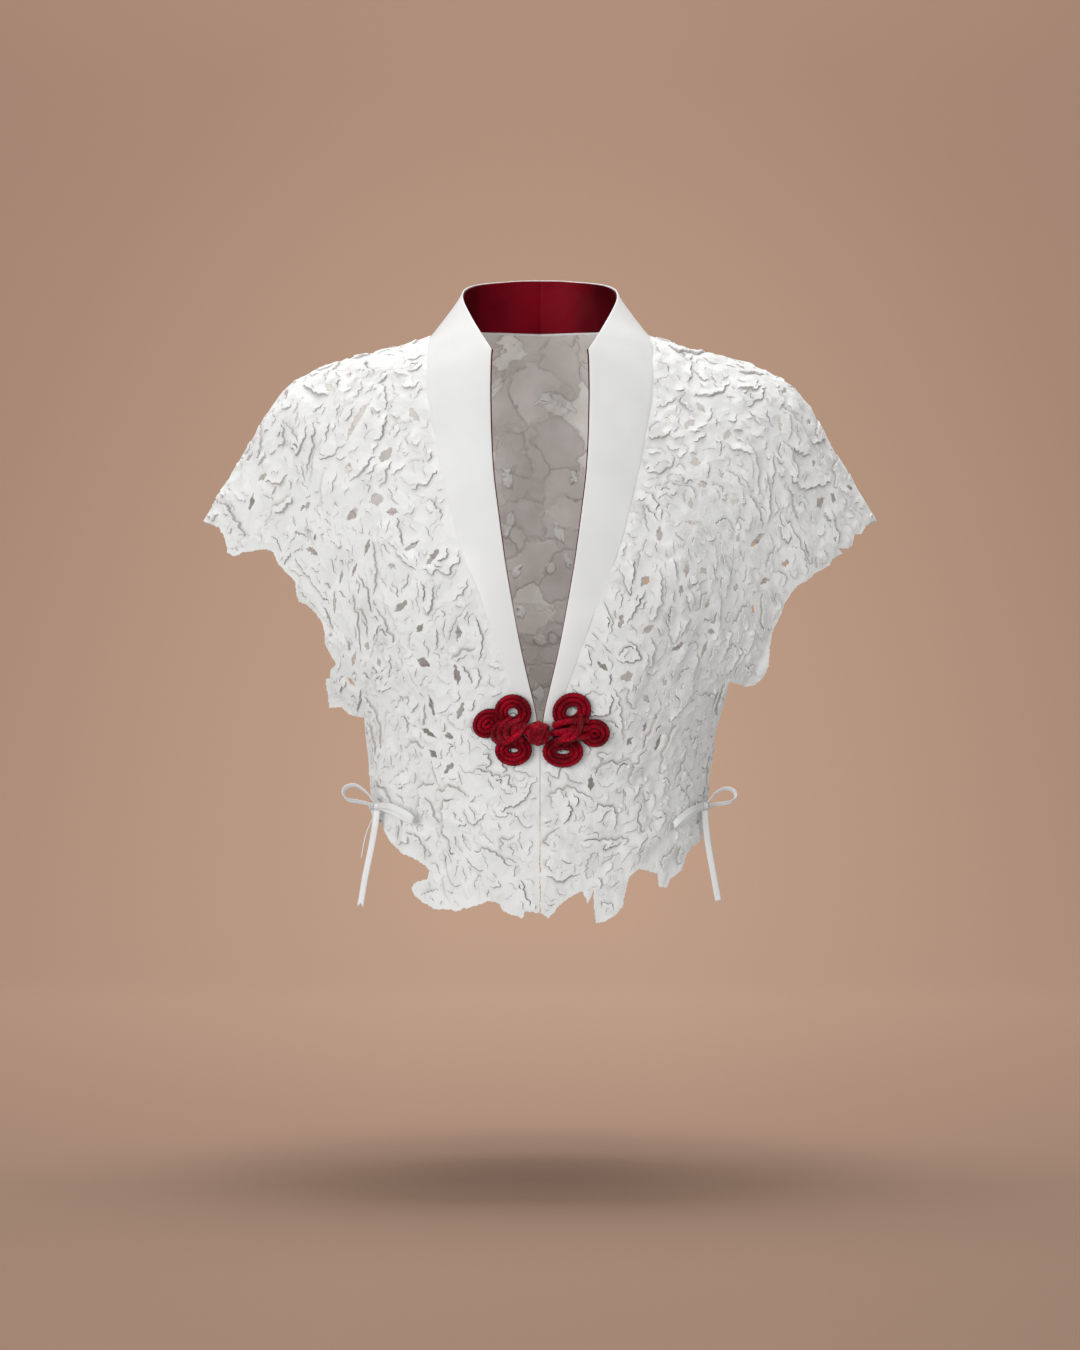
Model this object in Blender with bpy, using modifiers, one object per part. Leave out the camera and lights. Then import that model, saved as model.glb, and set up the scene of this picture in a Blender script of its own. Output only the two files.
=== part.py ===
"""A cropped lace kebaya blouse, worn by nobody: lace fronts and back with cut-on cap sleeves,
a satin collar band lined in red, a knotted frog fastening and a ribbon bow at each side.

Units are metres, +Z is up and the front faces -Y. "Right" and "left" are the wearer's, so
right is -X. The origin lies between the shoulders, level with the shoulder seams at the neck.

Every cloth piece lies on one of two faces of the body form, front or back. A point of a face is
(across, down): across runs from 0 at the centre to 1 at the sleeve and side edge, and goes a
little past 1 where a lobe of lace flares clear of the edge; down runs from 0 at the ridge of the
shoulder and upper arm to 1 at the hem.
"""

import math

import bmesh
import bpy
import numpy as np
from mathutils import Vector
from mathutils.geometry import delaunay_2d_cdt

# ---- driving dimensions ----------------------------------------------------------------------

FRONT, BACK = -1, 1  # the sign of Y on each face
RIGHT, LEFT = -1, 1  # the sign of X on each side

FRONT_HEM, BACK_HEM, SIDE_HEM = -0.520, -0.475, -0.458  # the body form's lowest heights
ROUND_DOWN = 0.325  # share of "down" spent on rounding over the shoulder
ROUND_DROP = 0.25  # share of the drop reached by the end of that rounding
FLAP = 0.24  # metres of cloth for each unit of "across" past the edge
SEAM = 0.0003  # the gap left between sewn pieces

LACE_WALL, PETAL_RISE = 0.0014, 0.0016  # the lace's ground, and how far its petals stand above it
PETAL_PITCH = 0.027  # the least distance between the middles of two petals
BAND_THICK, LINING_THICK = 0.0016, 0.0010
CORD_RADIUS = 0.00235  # the frog's rolled satin cord
RIBBON_WIDTH, RIBBON_THICK = 0.0055, 0.0010
TIE_DOWN = 0.845  # how far down the side the ribbon is threaded


def table(columns, rows):
    """A smooth function for each named column, over the first column's values."""
    names = columns.split()
    values = np.array(rows, float).T
    at = values[0]

    def reader(column):
        slope = np.gradient(column, at)

        def read(t):
            t = np.clip(t, at[0], at[-1])
            i = np.clip(np.searchsorted(at, t, side="right") - 1, 0, len(at) - 2)
            step = at[i + 1] - at[i]
            u = (t - at[i]) / step
            start = (1 + 2 * u) * (1 - u) ** 2 * column[i] + u * (1 - u) ** 2 * step * slope[i]
            end = u * u * (3 - 2 * u) * column[i + 1] + u * u * (u - 1) * step * slope[i + 1]
            return start + end

        return read

    return {name: reader(column) for name, column in zip(names[1:], values[1:])}


# The shoulder line and upper arm, as seen from the front. Inside x = 0.09 it is the neck's own
# slope, which only shapes the cloth around the neckline.
RIDGE = table(
    "x z",
    [
        (0.000, 0.070),
        (0.045, 0.049),
        (0.075, 0.0175),
        (0.094, 0.0040),
        (0.112, -0.0025),
        (0.136, -0.0100),
        (0.166, -0.0170),
        (0.188, -0.0235),
        (0.206, -0.0320),
        (0.223, -0.0430),
        (0.236, -0.0590),
        (0.247, -0.0770),
        (0.262, -0.1030),
        (0.277, -0.1275),
        (0.299, -0.1640),
    ],
)

# Level sections of the body form. width is half the form's width at its edge, turn the angle in
# degrees that the section turns through from the centre to the edge, and the depths are from the
# shoulder line's plane, at the centre and at the sleeve or side edge.
BODY = table(
    "drop width turn front_depth front_edge back_depth back_edge",
    [
        (0.00, 0.299, 72, 0.070, 0.0300, 0.078, 0.0300),
        (0.05, 0.280, 72, 0.072, 0.0340, 0.083, 0.0340),
        (0.12, 0.252, 72, 0.077, 0.0400, 0.090, 0.0400),
        (0.20, 0.226, 72, 0.086, 0.0430, 0.098, 0.0430),
        (0.30, 0.205, 73, 0.101, 0.0430, 0.102, 0.0430),
        (0.43, 0.188, 77, 0.117, 0.0340, 0.099, 0.0340),
        (0.53, 0.171, 84, 0.117, 0.0160, 0.091, 0.0160),
        (0.61, 0.157, 88, 0.112, 0.0040, 0.084, 0.0040),
        (0.72, 0.1500, 88, 0.103, 0.0020, 0.077, 0.0020),
        (0.86, 0.1475, 88, 0.097, 0.0020, 0.079, 0.0020),
        (1.00, 0.1520, 88, 0.104, 0.0030, 0.092, 0.0030),
    ],
)

# The fullness that the fronts are cut with at the bust.
BUST_ACROSS, BUST_DROP, BUST_RISE = 0.44, 0.43, 0.010
BUST_WIDE, BUST_TALL = 0.24, 0.17

# Soft folds: which face, both ends as (x, z), how far they stand out, and their half width.
FOLDS = [
    (FRONT, (-0.126, -0.418), (-0.086, -0.452), 0.0050, 0.009),
    (FRONT, (-0.112, -0.410), (-0.070, -0.440), -0.0035, 0.008),
    (FRONT, (-0.168, -0.150), (-0.150, -0.300), 0.0040, 0.012),
    (FRONT, (-0.190, -0.190), (-0.172, -0.270), -0.0030, 0.010),
    (FRONT, (0.176, -0.110), (0.182, -0.240), 0.0045, 0.012),
    (FRONT, (0.150, -0.260), (0.118, -0.380), 0.0040, 0.013),
    (FRONT, (0.112, -0.250), (0.090, -0.350), -0.0030, 0.012),
    (FRONT, (0.128, -0.412), (0.080, -0.446), 0.0040, 0.010),
    (BACK, (-0.120, -0.130), (-0.070, -0.330), 0.0040, 0.016),
    (BACK, (0.110, -0.150), (0.085, -0.360), 0.0045, 0.016),
    (BACK, (0.010, -0.280), (0.004, -0.450), 0.0035, 0.018),
]


# ---- the body form -----------------------------------------------------------------------------


def rounding(down):
    """(drop, fullness) for a distance down the cloth: a quarter ellipse over the shoulder, then straight."""
    angle = np.clip(down / ROUND_DOWN, 0, 1) * math.pi / 2
    rest = np.clip((down - ROUND_DOWN) / (1 - ROUND_DOWN), 0, None)
    return ROUND_DROP * (1 - np.cos(angle)) + (1 - ROUND_DROP) * rest, np.sin(angle)


def hem_height(face, share):
    """The form's lowest height at a share of its width from the centre."""
    middle = FRONT_HEM if face == FRONT else BACK_HEM
    return middle + (SIDE_HEM - middle) * share**2


def fold_rise(face, x, z):
    """How far the soft folds lift the cloth at (x, z)."""
    rise = np.zeros(np.shape(x))
    for fold_face, start, end, height, half_width in FOLDS:
        if fold_face != face:
            continue
        along = np.subtract(end, start)
        t = ((x - start[0]) * along[0] + (z - start[1]) * along[1]) / (along @ along)
        near = np.clip(t, 0, 1)
        away = np.hypot(x - start[0] - near * along[0], z - start[1] - near * along[1])
        rise = rise + height * np.exp(-((away / half_width) ** 2))
    return rise


def cloth(face, across, down):
    """The place of the cloth's inner surface, as an array of points."""
    across, down = np.broadcast_arrays(np.asarray(across, float), np.asarray(down, float))
    side, share = np.sign(across), np.minimum(np.abs(across), 1)
    flap = np.maximum(np.abs(across) - 1, 0) * FLAP
    drop, fullness = rounding(down)
    turn = np.radians(BODY["turn"](drop))
    reach = np.sin(share * turn) / np.sin(turn)
    bend = (1 - np.cos(share * turn)) / (1 - np.cos(turn))
    x = BODY["width"](drop) * reach + flap
    names = ("front_depth", "front_edge") if face == FRONT else ("back_depth", "back_edge")
    depth = (BODY[names[0]](drop) * (1 - bend) + BODY[names[1]](drop) * bend) * fullness
    if face == FRONT:
        level = np.exp(-(((drop - BUST_DROP) / BUST_TALL) ** 2))
        depth = depth + BUST_RISE * level * np.exp(-(((share - BUST_ACROSS) / BUST_WIDE) ** 2))
    depth = np.maximum(depth - 0.2 * flap, 0.0015 * fullness)
    ridge_turn = math.radians(float(BODY["turn"](0)))
    ridge_x = float(BODY["width"](0)) * np.sin(share * ridge_turn) / math.sin(ridge_turn)
    z = RIDGE["z"](ridge_x) * (1 - drop) + hem_height(face, reach) * drop
    depth = depth + fold_rise(face, side * x, z) * fullness * np.cos(share * math.pi / 2)
    return np.stack([side * x, face * (depth + SEAM / 2), z], axis=-1)


def outward(face, across, down):
    """The cloth's outward direction."""
    step = 1e-4
    by_across = cloth(face, across + step, down) - cloth(face, across - step, down)
    low = np.maximum(down - step, 0)
    by_down = cloth(face, across, down + step) - cloth(face, across, low)
    normal = np.cross(by_across, by_down) * face
    return normal / np.linalg.norm(normal, axis=-1, keepdims=True)


def spot(face, x, z):
    """The (across, down) of the point that the front view shows at (x, z)."""
    low, high = 0.0, 1.08
    for _ in range(48):
        down = (low + high) / 2
        drop = rounding(down)[0]
        turn = math.radians(float(BODY["turn"](drop)))
        width = float(BODY["width"](drop))
        if abs(x) <= width:
            across = math.asin(abs(x) / width * math.sin(turn)) / turn
        else:
            across = 1 + (abs(x) - width) / FLAP
        if cloth(face, across, down)[2] > z:
            low = down
        else:
            high = down
    return math.copysign(across, x), down


def on_face(face, x, z, lift=0.0):
    """The point at (x, z) on a face, lifted clear of the cloth's inner surface."""
    across, down = spot(face, x, z)
    return cloth(face, across, down) + lift * outward(face, across, down)


# ---- the edges of the lace ---------------------------------------------------------------------

# The collar band's stations. Round the neck: where its seam lies on the back face, as (x, z), and
# where its rim stands, as (x, y, z). Down each front: its seam and its free edge, both as (x, z) on
# the front face, from the corner at the top of the neckline to the foot.
BAND_NECK = [
    ((0.000, 0.0120), (0.000, 0.0700, 0.0620)),
    ((0.016, 0.0120), (0.018, 0.0675, 0.0615)),
    ((0.030, 0.0120), (0.034, 0.0615, 0.0590)),
    ((0.045, 0.0115), (0.048, 0.0520, 0.0545)),
    ((0.058, 0.0105), (0.0585, 0.0395, 0.0485)),
    ((0.070, 0.0090), (0.0650, 0.0250, 0.0425)),
    ((0.080, 0.0068), (0.0672, 0.0100, 0.0368)),
    ((0.092, 0.0044), (0.0655, -0.0060, 0.0300)),
]
BAND_SHOULDER = ((0.0950, -0.0010, 0.0032), (0.0600, -0.0235, 0.0215))
BAND_NECK_FRONT = ((0.0974, -0.006), (0.0510, -0.0420, 0.0090))
BAND_FRONT = [
    ((0.0985, -0.016), (0.0410, -0.005)),
    ((0.0978, -0.034), (0.0422, -0.022)),
    ((0.0970, -0.050), (0.0426, -0.042)),
    ((0.0950, -0.066), (0.0425, -0.062)),
    ((0.0890, -0.098), (0.0415, -0.095)),
    ((0.0840, -0.124), (0.0395, -0.125)),
    ((0.0775, -0.149), (0.0362, -0.152)),
    ((0.0705, -0.178), (0.0322, -0.182)),
    ((0.0630, -0.201), (0.0287, -0.206)),
    ((0.0465, -0.242), (0.0220, -0.245)),
    ((0.0353, -0.274), (0.0160, -0.276)),
    ((0.0235, -0.305), (0.0093, -0.305)),
    ((0.0165, -0.326), (0.0040, -0.328)),
    ((0.0110, -0.349), (0.0013, -0.349)),
]
BAND_GAP = 0.0008  # the lace stops this far short of the band's edge, which is felled to it
BACK_NECK_GAP = 0.0038  # the same gap on the back, as a share of "down"
RIDGE_START = 0.248  # where the shoulder seam starts at the band, as a share of "across"

# The scalloped edges, from the centre front round the hem to the side, then up the armhole to
# the tip of the sleeve, as (x, z) on the wearer's own side.
HEM = {
    RIGHT: [
        (0.0130, -0.4980), (0.0155, -0.5035), (0.0210, -0.5015), (0.0305, -0.4980),
        (0.0355, -0.4910), (0.0445, -0.4890), (0.0555, -0.4935), (0.0705, -0.4980),
        (0.0810, -0.4970), (0.0905, -0.4970), (0.0985, -0.4925), (0.1065, -0.4870),
        (0.1100, -0.4805), (0.1065, -0.4750), (0.0975, -0.4725), (0.0935, -0.4650),
        (0.0970, -0.4615), (0.1085, -0.4540), (0.1185, -0.4510), (0.1250, -0.4450),
        (0.1300, -0.4405), (0.1355, -0.4315), (0.1380, -0.4225),
    ],
    LEFT: [
        (0.0075, -0.5035), (0.0160, -0.4930), (0.0285, -0.4835), (0.0360, -0.4810),
        (0.0385, -0.4860), (0.0405, -0.4915), (0.0430, -0.4860), (0.0455, -0.4800),
        (0.0460, -0.4960), (0.0475, -0.5080), (0.0555, -0.5065), (0.0630, -0.5020),
        (0.0700, -0.4950), (0.0730, -0.4815), (0.0760, -0.4695), (0.0845, -0.4625),
        (0.0940, -0.4655), (0.1010, -0.4670), (0.1020, -0.4785), (0.1090, -0.4790),
        (0.1115, -0.4725), (0.1220, -0.4650), (0.1260, -0.4525), (0.1325, -0.4450),
        (0.1405, -0.4410), (0.1425, -0.4305),
    ],
}
ARMHOLE = {
    RIGHT: [
        (0.1530, -0.3330), (0.1685, -0.3305), (0.1745, -0.3240), (0.1855, -0.3250),
        (0.1865, -0.3125), (0.1875, -0.3000), (0.1820, -0.2915), (0.1765, -0.2865),
        (0.1820, -0.2775), (0.1860, -0.2690), (0.1860, -0.2610), (0.1880, -0.2515),
        (0.1945, -0.2425), (0.2020, -0.2345), (0.2090, -0.2330), (0.2110, -0.2260),
        (0.2120, -0.2155), (0.2225, -0.2050), (0.2280, -0.1980), (0.2320, -0.1895),
        (0.2385, -0.1870), (0.2495, -0.1880), (0.2615, -0.1900), (0.2690, -0.1925),
        (0.2735, -0.1900), (0.2745, -0.1825), (0.2770, -0.1740), (0.2815, -0.1670),
        (0.2905, -0.1635),
    ],
    LEFT: [
        (0.1625, -0.3130), (0.1635, -0.3020), (0.1770, -0.3045), (0.1875, -0.3050),
        (0.1955, -0.2975), (0.1995, -0.2870), (0.2000, -0.2735), (0.2015, -0.2620),
        (0.2055, -0.2505), (0.2100, -0.2415), (0.2125, -0.2335), (0.2180, -0.2255),
        (0.2240, -0.2185), (0.2310, -0.2150), (0.2405, -0.2070), (0.2525, -0.2010),
        (0.2550, -0.1950), (0.2645, -0.1900), (0.2600, -0.1850), (0.2695, -0.1860),
        (0.2730, -0.1830), (0.2755, -0.1730), (0.2815, -0.1730), (0.2855, -0.1665),
        (0.2895, -0.1630),
    ],
}
HEM_HOLE = [
    (0.0370, -0.4640), (0.0395, -0.4540), (0.0460, -0.4480), (0.0505, -0.4475), (0.0500, -0.4590),
    (0.0460, -0.4690), (0.0395, -0.4705),
]
# The back's armholes lie a little inside the fronts': the tips of their lace, as (x, z).
BACK_ARMHOLE = [
    (0.2900, -0.1640), (0.2780, -0.1700), (0.2630, -0.1780), (0.2440, -0.1860), (0.2250, -0.1950),
    (0.2100, -0.2090), (0.1990, -0.2260), (0.1880, -0.2440), (0.1790, -0.2620), (0.1700, -0.2800),
    (0.1640, -0.3020), (0.1570, -0.3230), (0.1500, -0.3440),
]

# The back's scallops: how many along the hem, and how deep they are cut.
BACK_HEM_SCALLOPS, SCALLOP_DEPTH = 13, 0.011


def metric(face, across, down):
    """Metres of cloth for each unit of across and of down, near a point."""
    step = 1e-3
    by_across = cloth(face, across + step, down) - cloth(face, across - step, down)
    by_down = cloth(face, across, down + step) - cloth(face, across, max(down - step, 0))
    width = 2 * step if down >= step else step + down
    return np.linalg.norm(by_across) / (2 * step), np.linalg.norm(by_down) / width


def front_outline(side):
    """The edge of a front, as spots on the front face, for the wearer's side on +X."""
    seam = [BAND_NECK_FRONT[0]] + [row[0] for row in BAND_FRONT]
    neck = [(RIDGE_START, 0.0)] + [spot(FRONT, x + BAND_GAP, z) for x, z in seam]
    foot_z = BAND_FRONT[-1][0][1]
    centre = [spot(FRONT, SEAM, z) for z in (foot_z - FOOT_GAP, -0.430, -0.499)]
    hem = [spot(FRONT, x, z) for x, z in HEM[side]]
    waist = [(1.0, TIE_DOWN + 0.04), (1.0, TIE_DOWN - 0.07), (1.0, TIE_DOWN - 0.14)]
    armhole = [spot(FRONT, x, z) for x, z in ARMHOLE[side]]
    ridge = [(across, 0.0) for across in np.linspace(0.985, RIDGE_START, 13)[:-1]]
    return neck + centre + hem + waist + armhole + ridge


def scalloped(tips, depth, rng):
    """The tips of a lace edge, with a scallop cut in between each two of them."""
    points = []
    for start, end in zip(np.array(tips), np.array(tips[1:])):
        along = end - start
        away = np.array([-along[1], along[0]]) / np.linalg.norm(along)
        cut = depth * rng.uniform(0.6, 1.2)
        for t, share in ((0.0, 0.0), (0.25, 0.8), (0.6, 1.0), (0.9, 0.5)):
            points.append(tuple(start + t * along + away * cut * share))
    return points


def back_outline():
    """The edge of the back, as spots on the back face."""
    rng = np.random.default_rng(5)
    tips = [spot(BACK, x, z) for x, z in BACK_ARMHOLE]
    armhole = scalloped(tips, SCALLOP_DEPTH * 1.6, rng)
    ridge = [(across, 0.0) for across in np.linspace(RIDGE_START, 0.985, 13)]
    half = ridge + armhole + [(1.0, TIE_DOWN - 0.14), (1.0, TIE_DOWN - 0.07), (1.0, TIE_DOWN + 0.04)]
    places = np.linspace(0.93, -0.93, BACK_HEM_SCALLOPS + 1)
    places[1:-1] += rng.uniform(-0.3, 0.3, BACK_HEM_SCALLOPS - 1) * (places[1] - places[0])
    hem = scalloped([(across, 0.945) for across in places], SCALLOP_DEPTH * 2.6, rng)
    spots = [spot(BACK, *row[0]) for row in BAND_NECK]
    neck = [(across * 1.015, down + BACK_NECK_GAP) for across, down in spots]
    right = [(-across, down) for across, down in half[::-1]]
    return half + hem[1:] + right + [(-a, d) for a, d in neck[:0:-1]] + neck


# ---- the lace's gaps and petals ----------------------------------------------------------------

# The largest gaps: the middle as (x, z) on the wearer's own side, length, width, and the lean of
# the length in degrees, up from level as x grows.
GAPS = {
    "front_right": [
        (0.1570, -0.0740, 0.050, 0.0058, -41),
        (0.1320, -0.1080, 0.018, 0.0070, -35),
        (0.1400, -0.1470, 0.014, 0.0120, 10),
        (0.1600, -0.1580, 0.015, 0.0090, 0),
        (0.1255, -0.1570, 0.012, 0.0080, 20),
        (0.0990, -0.2860, 0.013, 0.0100, 30),
        (0.0700, -0.2965, 0.020, 0.0055, 84),
        (0.0925, -0.3220, 0.020, 0.0052, 80),
        (0.0775, -0.3480, 0.009, 0.0060, 0),
        (0.1080, -0.0730, 0.019, 0.0060, 75),
        (0.2420, -0.1240, 0.010, 0.0065, 40),
        (0.1970, -0.1900, 0.016, 0.0055, 70),
        (0.0160, -0.4380, 0.016, 0.0050, 88),
        (0.0620, -0.4400, 0.017, 0.0052, 60),
    ],
    "front_left": [
        (0.1290, -0.0800, 0.014, 0.0075, 60),
        (0.1330, -0.1140, 0.013, 0.0080, 20),
        (0.1680, -0.1460, 0.013, 0.0100, 70),
        (0.2390, -0.1120, 0.009, 0.0080, 0),
        (0.1870, -0.1800, 0.026, 0.0060, 70),
        (0.0890, -0.2170, 0.013, 0.0060, 50),
        (0.1430, -0.2350, 0.012, 0.0062, 80),
        (0.1940, -0.2150, 0.016, 0.0055, 60),
        (0.0685, -0.2510, 0.012, 0.0055, 80),
        (0.0915, -0.2580, 0.012, 0.0070, 30),
        (0.1410, -0.2740, 0.019, 0.0060, 80),
        (0.0740, -0.2980, 0.013, 0.0100, 30),
        (0.0730, -0.4050, 0.026, 0.0055, -75),
        (0.1010, -0.3550, 0.016, 0.0052, 70),
    ],
    "back": [
        (0.0140, -0.0480, 0.040, 0.0180, 12),
        (-0.0400, -0.0330, 0.015, 0.0100, 35),
        (-0.0300, -0.1160, 0.024, 0.0075, -70),
        (-0.0280, -0.1570, 0.020, 0.0075, 68),
        (-0.0180, -0.2390, 0.011, 0.0055, -65),
        (0.0310, -0.1150, 0.015, 0.0060, 70),
    ],
}
MORE_GAPS = {"front_right": 34, "front_left": 34, "back": 56}  # the smaller ones, where petals meet
MORE_LONG, MORE_WIDE = (0.009, 0.017), (0.0048, 0.0065)
GAP_SHAPE = [(0.50, 0.00), (0.16, 0.50), (-0.22, 0.42), (-0.50, 0.00), (0.02, -0.50)]
CLEAR = 0.0042  # the least lace left between two gaps, or between a gap and the edge
POINT_CLEAR = 0.0030  # the least distance between two points of the wall
FLAT = np.array([0.25, 0.60])  # metres of cloth for a unit of across and of down, on the whole


def edge_distance(points, loop):
    """The distance from each point to the nearest edge of a closed loop."""
    a, b = loop, np.roll(loop, -1, axis=0)
    along = b - a
    t = np.einsum("nmk,mk->nm", points[:, None] - a, along) / np.maximum((along**2).sum(1), 1e-12)
    near = a + np.clip(t, 0, 1)[..., None] * along
    return np.linalg.norm(points[:, None] - near, axis=2).min(axis=1)


def inside(points, loop):
    """Whether each point lies inside a closed loop."""
    a, b = loop, np.roll(loop, -1, axis=0)
    x, y = points[:, 0, None], points[:, 1, None]
    crosses = (a[:, 1] > y) != (b[:, 1] > y)
    rise = np.where(b[:, 1] == a[:, 1], 1.0, b[:, 1] - a[:, 1])
    at = a[:, 0] + (y - a[:, 1]) * (b[:, 0] - a[:, 0]) / rise
    return (crosses & (x < at)).sum(axis=1) % 2 == 1


def thinned(points, keep, least):
    """Indices of points that lie at least a distance from each one kept before them."""
    kept = list(keep)
    for i in range(len(keep), len(points)):
        if np.linalg.norm(points[kept] - points[i], axis=1).min() >= least:
            kept.append(i)
    return kept


def petal_middles(face, outline, rng):
    """Spots spread evenly over a panel, no nearer to each other than the petals' pitch."""
    low, high = outline.min(axis=0), outline.max(axis=0)
    tries = rng.uniform(low, high, (5000, 2))
    tries = tries[inside(tries, outline) & (edge_distance(tries, outline) > PETAL_PITCH / 4)]
    places = cloth(face, tries[:, 0] / FLAT[0], tries[:, 1] / FLAT[1])
    return tries[thinned(places, [0], PETAL_PITCH)]


def triangles_of(points, edges=()):
    """Delaunay triangles over flat points that keep the given edges."""
    result = delaunay_2d_cdt([Vector(p) for p in points], list(edges), [], 0, 1e-9)
    if len(result[0]) != len(points):
        raise ValueError("two edges of the lace cross")
    return np.array([tuple(face) for face in result[2]])


def gap_loop(face, across, down, length, width, lean):
    """A gap's edge, flattened. Lean is measured on the cloth, up from the level way outwards."""
    by_across, by_down = metric(face, across, down)
    turn = math.radians(lean)
    shape = np.array(GAP_SHAPE) * (length, width)
    level = shape[:, 0] * math.cos(turn) - shape[:, 1] * math.sin(turn)
    fall = -shape[:, 0] * math.sin(turn) - shape[:, 1] * math.cos(turn)
    return np.stack([across + level / by_across, down + fall / by_down], axis=1) * FLAT


def gap_loops(name, face, outline, junctions, rng):
    """The edges of a panel's gaps: the named ones, then others at the widest junctions of petals."""
    loops = []
    for x, z, *shape in GAPS[name]:
        across, down = spot(face, x, z)
        loops.append(gap_loop(face, across, down, *shape))
    if name == "front_left":
        loops.append(np.array([spot(face, x, z) for x, z in HEM_HOLE]) * FLAT)
    named = len(loops)
    for junction in junctions:
        if len(loops) == named + MORE_GAPS[name]:
            break
        across, down = junction / FLAT
        size = rng.uniform(*MORE_LONG), rng.uniform(*MORE_WIDE)
        loop = gap_loop(face, across, down, *size, rng.uniform(15, 165))
        clear = edge_distance(loop, outline).min() > CLEAR and inside(loop, outline).all()
        if clear and all(edge_distance(loop, other).min() > CLEAR for other in loops):
            loops.append(loop)
    return loops


def lace_panel(name, face, side, outline, seed):
    """A lace panel: a plain inside, and an outside whose petals stand proud between valleys."""
    rng = np.random.default_rng(seed)
    outline = np.array(outline) * FLAT
    middles = petal_middles(face, outline, rng)
    corners = middles[triangles_of(middles)]
    valleys = corners.mean(axis=1)
    size = np.linalg.norm(corners - np.roll(corners, 1, axis=1), axis=2).sum(axis=1)
    order = np.argsort(-np.where(size < 5 * PETAL_PITCH, size, 0))
    loops = gap_loops(name, face, outline, valleys[order], rng)

    lean = rng.uniform(0, math.pi, len(middles))
    ribs = PETAL_PITCH * 0.2 * np.stack([np.cos(lean), np.sin(lean)], axis=1)
    points = np.concatenate([middles + ribs, middles - ribs, valleys])
    rises = np.concatenate([np.full(2 * len(middles), 1.0), np.full(len(valleys), 0.0)])
    use = inside(points, outline) & (edge_distance(points, outline) > POINT_CLEAR)
    for loop in loops:
        use &= ~inside(points, loop) & (edge_distance(points, loop) > POINT_CLEAR)
    points, rises = points[use], rises[use]

    rims = [outline] + loops
    edges = []
    count = 0
    for rim in rims:
        edges += [(count + i, count + (i + 1) % len(rim)) for i in range(len(rim))]
        count += len(rim)
    points = np.concatenate(rims + [points])
    rises = np.concatenate([rng.uniform(0.1, 0.6, count), rises])
    kept = thinned(points, range(count), POINT_CLEAR)
    points, rises = points[kept], rises[kept]
    faces = triangles_of(points, edges)
    middle = points[faces].mean(axis=1)
    solid = inside(middle, outline)
    for loop in loops:
        solid &= ~inside(middle, loop)
    faces = faces[solid]
    places = cloth(face, side * points[:, 0] / FLAT[0], points[:, 1] / FLAT[1])
    if face * side * flat_turn(points, faces) < 0:
        faces = faces[:, ::-1]
    thick = LACE_WALL + PETAL_RISE * rises
    return shell(name, places, faces, LACE_WALL + PETAL_RISE, thick)


def flat_turn(points, faces):
    """Positive where the flat triangles run anticlockwise."""
    a, b, c = (points[faces[:, i]] for i in range(3))
    return np.sign((b - a)[:, 0] * (c - a)[:, 1] - (b - a)[:, 1] * (c - a)[:, 0]).sum()


# ---- building pieces ---------------------------------------------------------------------------


def material(name, colour, roughness, sheen=0.0):
    """A plain Principled material."""
    made = bpy.data.materials.new(name)
    made.use_nodes = True
    shader = made.node_tree.nodes["Principled BSDF"]
    shader.inputs["Base Color"].default_value = (*colour, 1)
    shader.inputs["Roughness"].default_value = roughness
    shader.inputs["Metallic"].default_value = 0.0
    shader.inputs["Sheen Weight"].default_value = sheen
    made.diffuse_color = (*colour, 1)
    return made


def add_object(name, mesh):
    """A new object in the blouse's collection."""
    piece = bpy.data.objects.new(name, mesh)
    bpy.data.collections[BLOUSE].objects.link(piece)
    return piece


def shell(name, places, faces, thickness, thick=None):
    """A closed wall on an open sheet of points, thickened to the side that the faces look to."""
    mesh = bpy.data.meshes.new(name)
    mesh.from_pydata([tuple(p) for p in places], [], [tuple(int(i) for i in f) for f in faces])
    mesh.shade_smooth()
    piece = add_object(name, mesh)
    wall = piece.modifiers.new("Wall", "SOLIDIFY")
    wall.thickness = thickness
    wall.offset = 1
    if thick is not None:
        group = piece.vertex_groups.new(name="thickness")
        for i, value in enumerate(thick):
            group.add([i], value / thickness, "REPLACE")
        wall.vertex_group = "thickness"
    return piece


def grid_faces(rows, columns):
    """Triangles over a grid of points held row by row."""
    faces = []
    for r in range(rows - 1):
        for c in range(columns - 1):
            at = r * columns + c
            faces.append((at, at + 1, at + columns + 1))
            faces.append((at, at + columns + 1, at + columns))
    return faces


# ---- the collar --------------------------------------------------------------------------------

BAND_COLUMNS = (0.0, 0.25, 0.5, 0.75, 1.0)  # across the band, from the seam to the rim
BAND_BULGE = 0.04  # the band's crown above a straight line across it, as a share of its width
LINING_DROP = 0.0006  # how far the lining stops below the standing rim
LINING_SHOW = 0.0008  # how far it is rolled out past the free edge of the fronts
LINING_SEAM = 0.0015  # how far it stops short of the lace
CENTRE_BACK_GAP = 0.0004  # from the centre to each half
FOOT_GAP = 0.0020  # between the band's foot and the lace of the fronts below it


def band_stations():
    """The band's sections from the centre back to the foot: seam point, rim point, on the neck."""
    rows = [(on_face(BACK, *seam), np.array(rim), 1.0) for seam, rim in BAND_NECK]
    rows.append((np.array(BAND_SHOULDER[0]), np.array(BAND_SHOULDER[1]), 1.0))
    seam, rim = BAND_NECK_FRONT
    rows.append((on_face(FRONT, *seam), np.array(rim), 0.6))
    for seam, edge in BAND_FRONT:
        rows.append((on_face(FRONT, *seam), on_face(FRONT, *edge), 0.0))
    return rows


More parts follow.
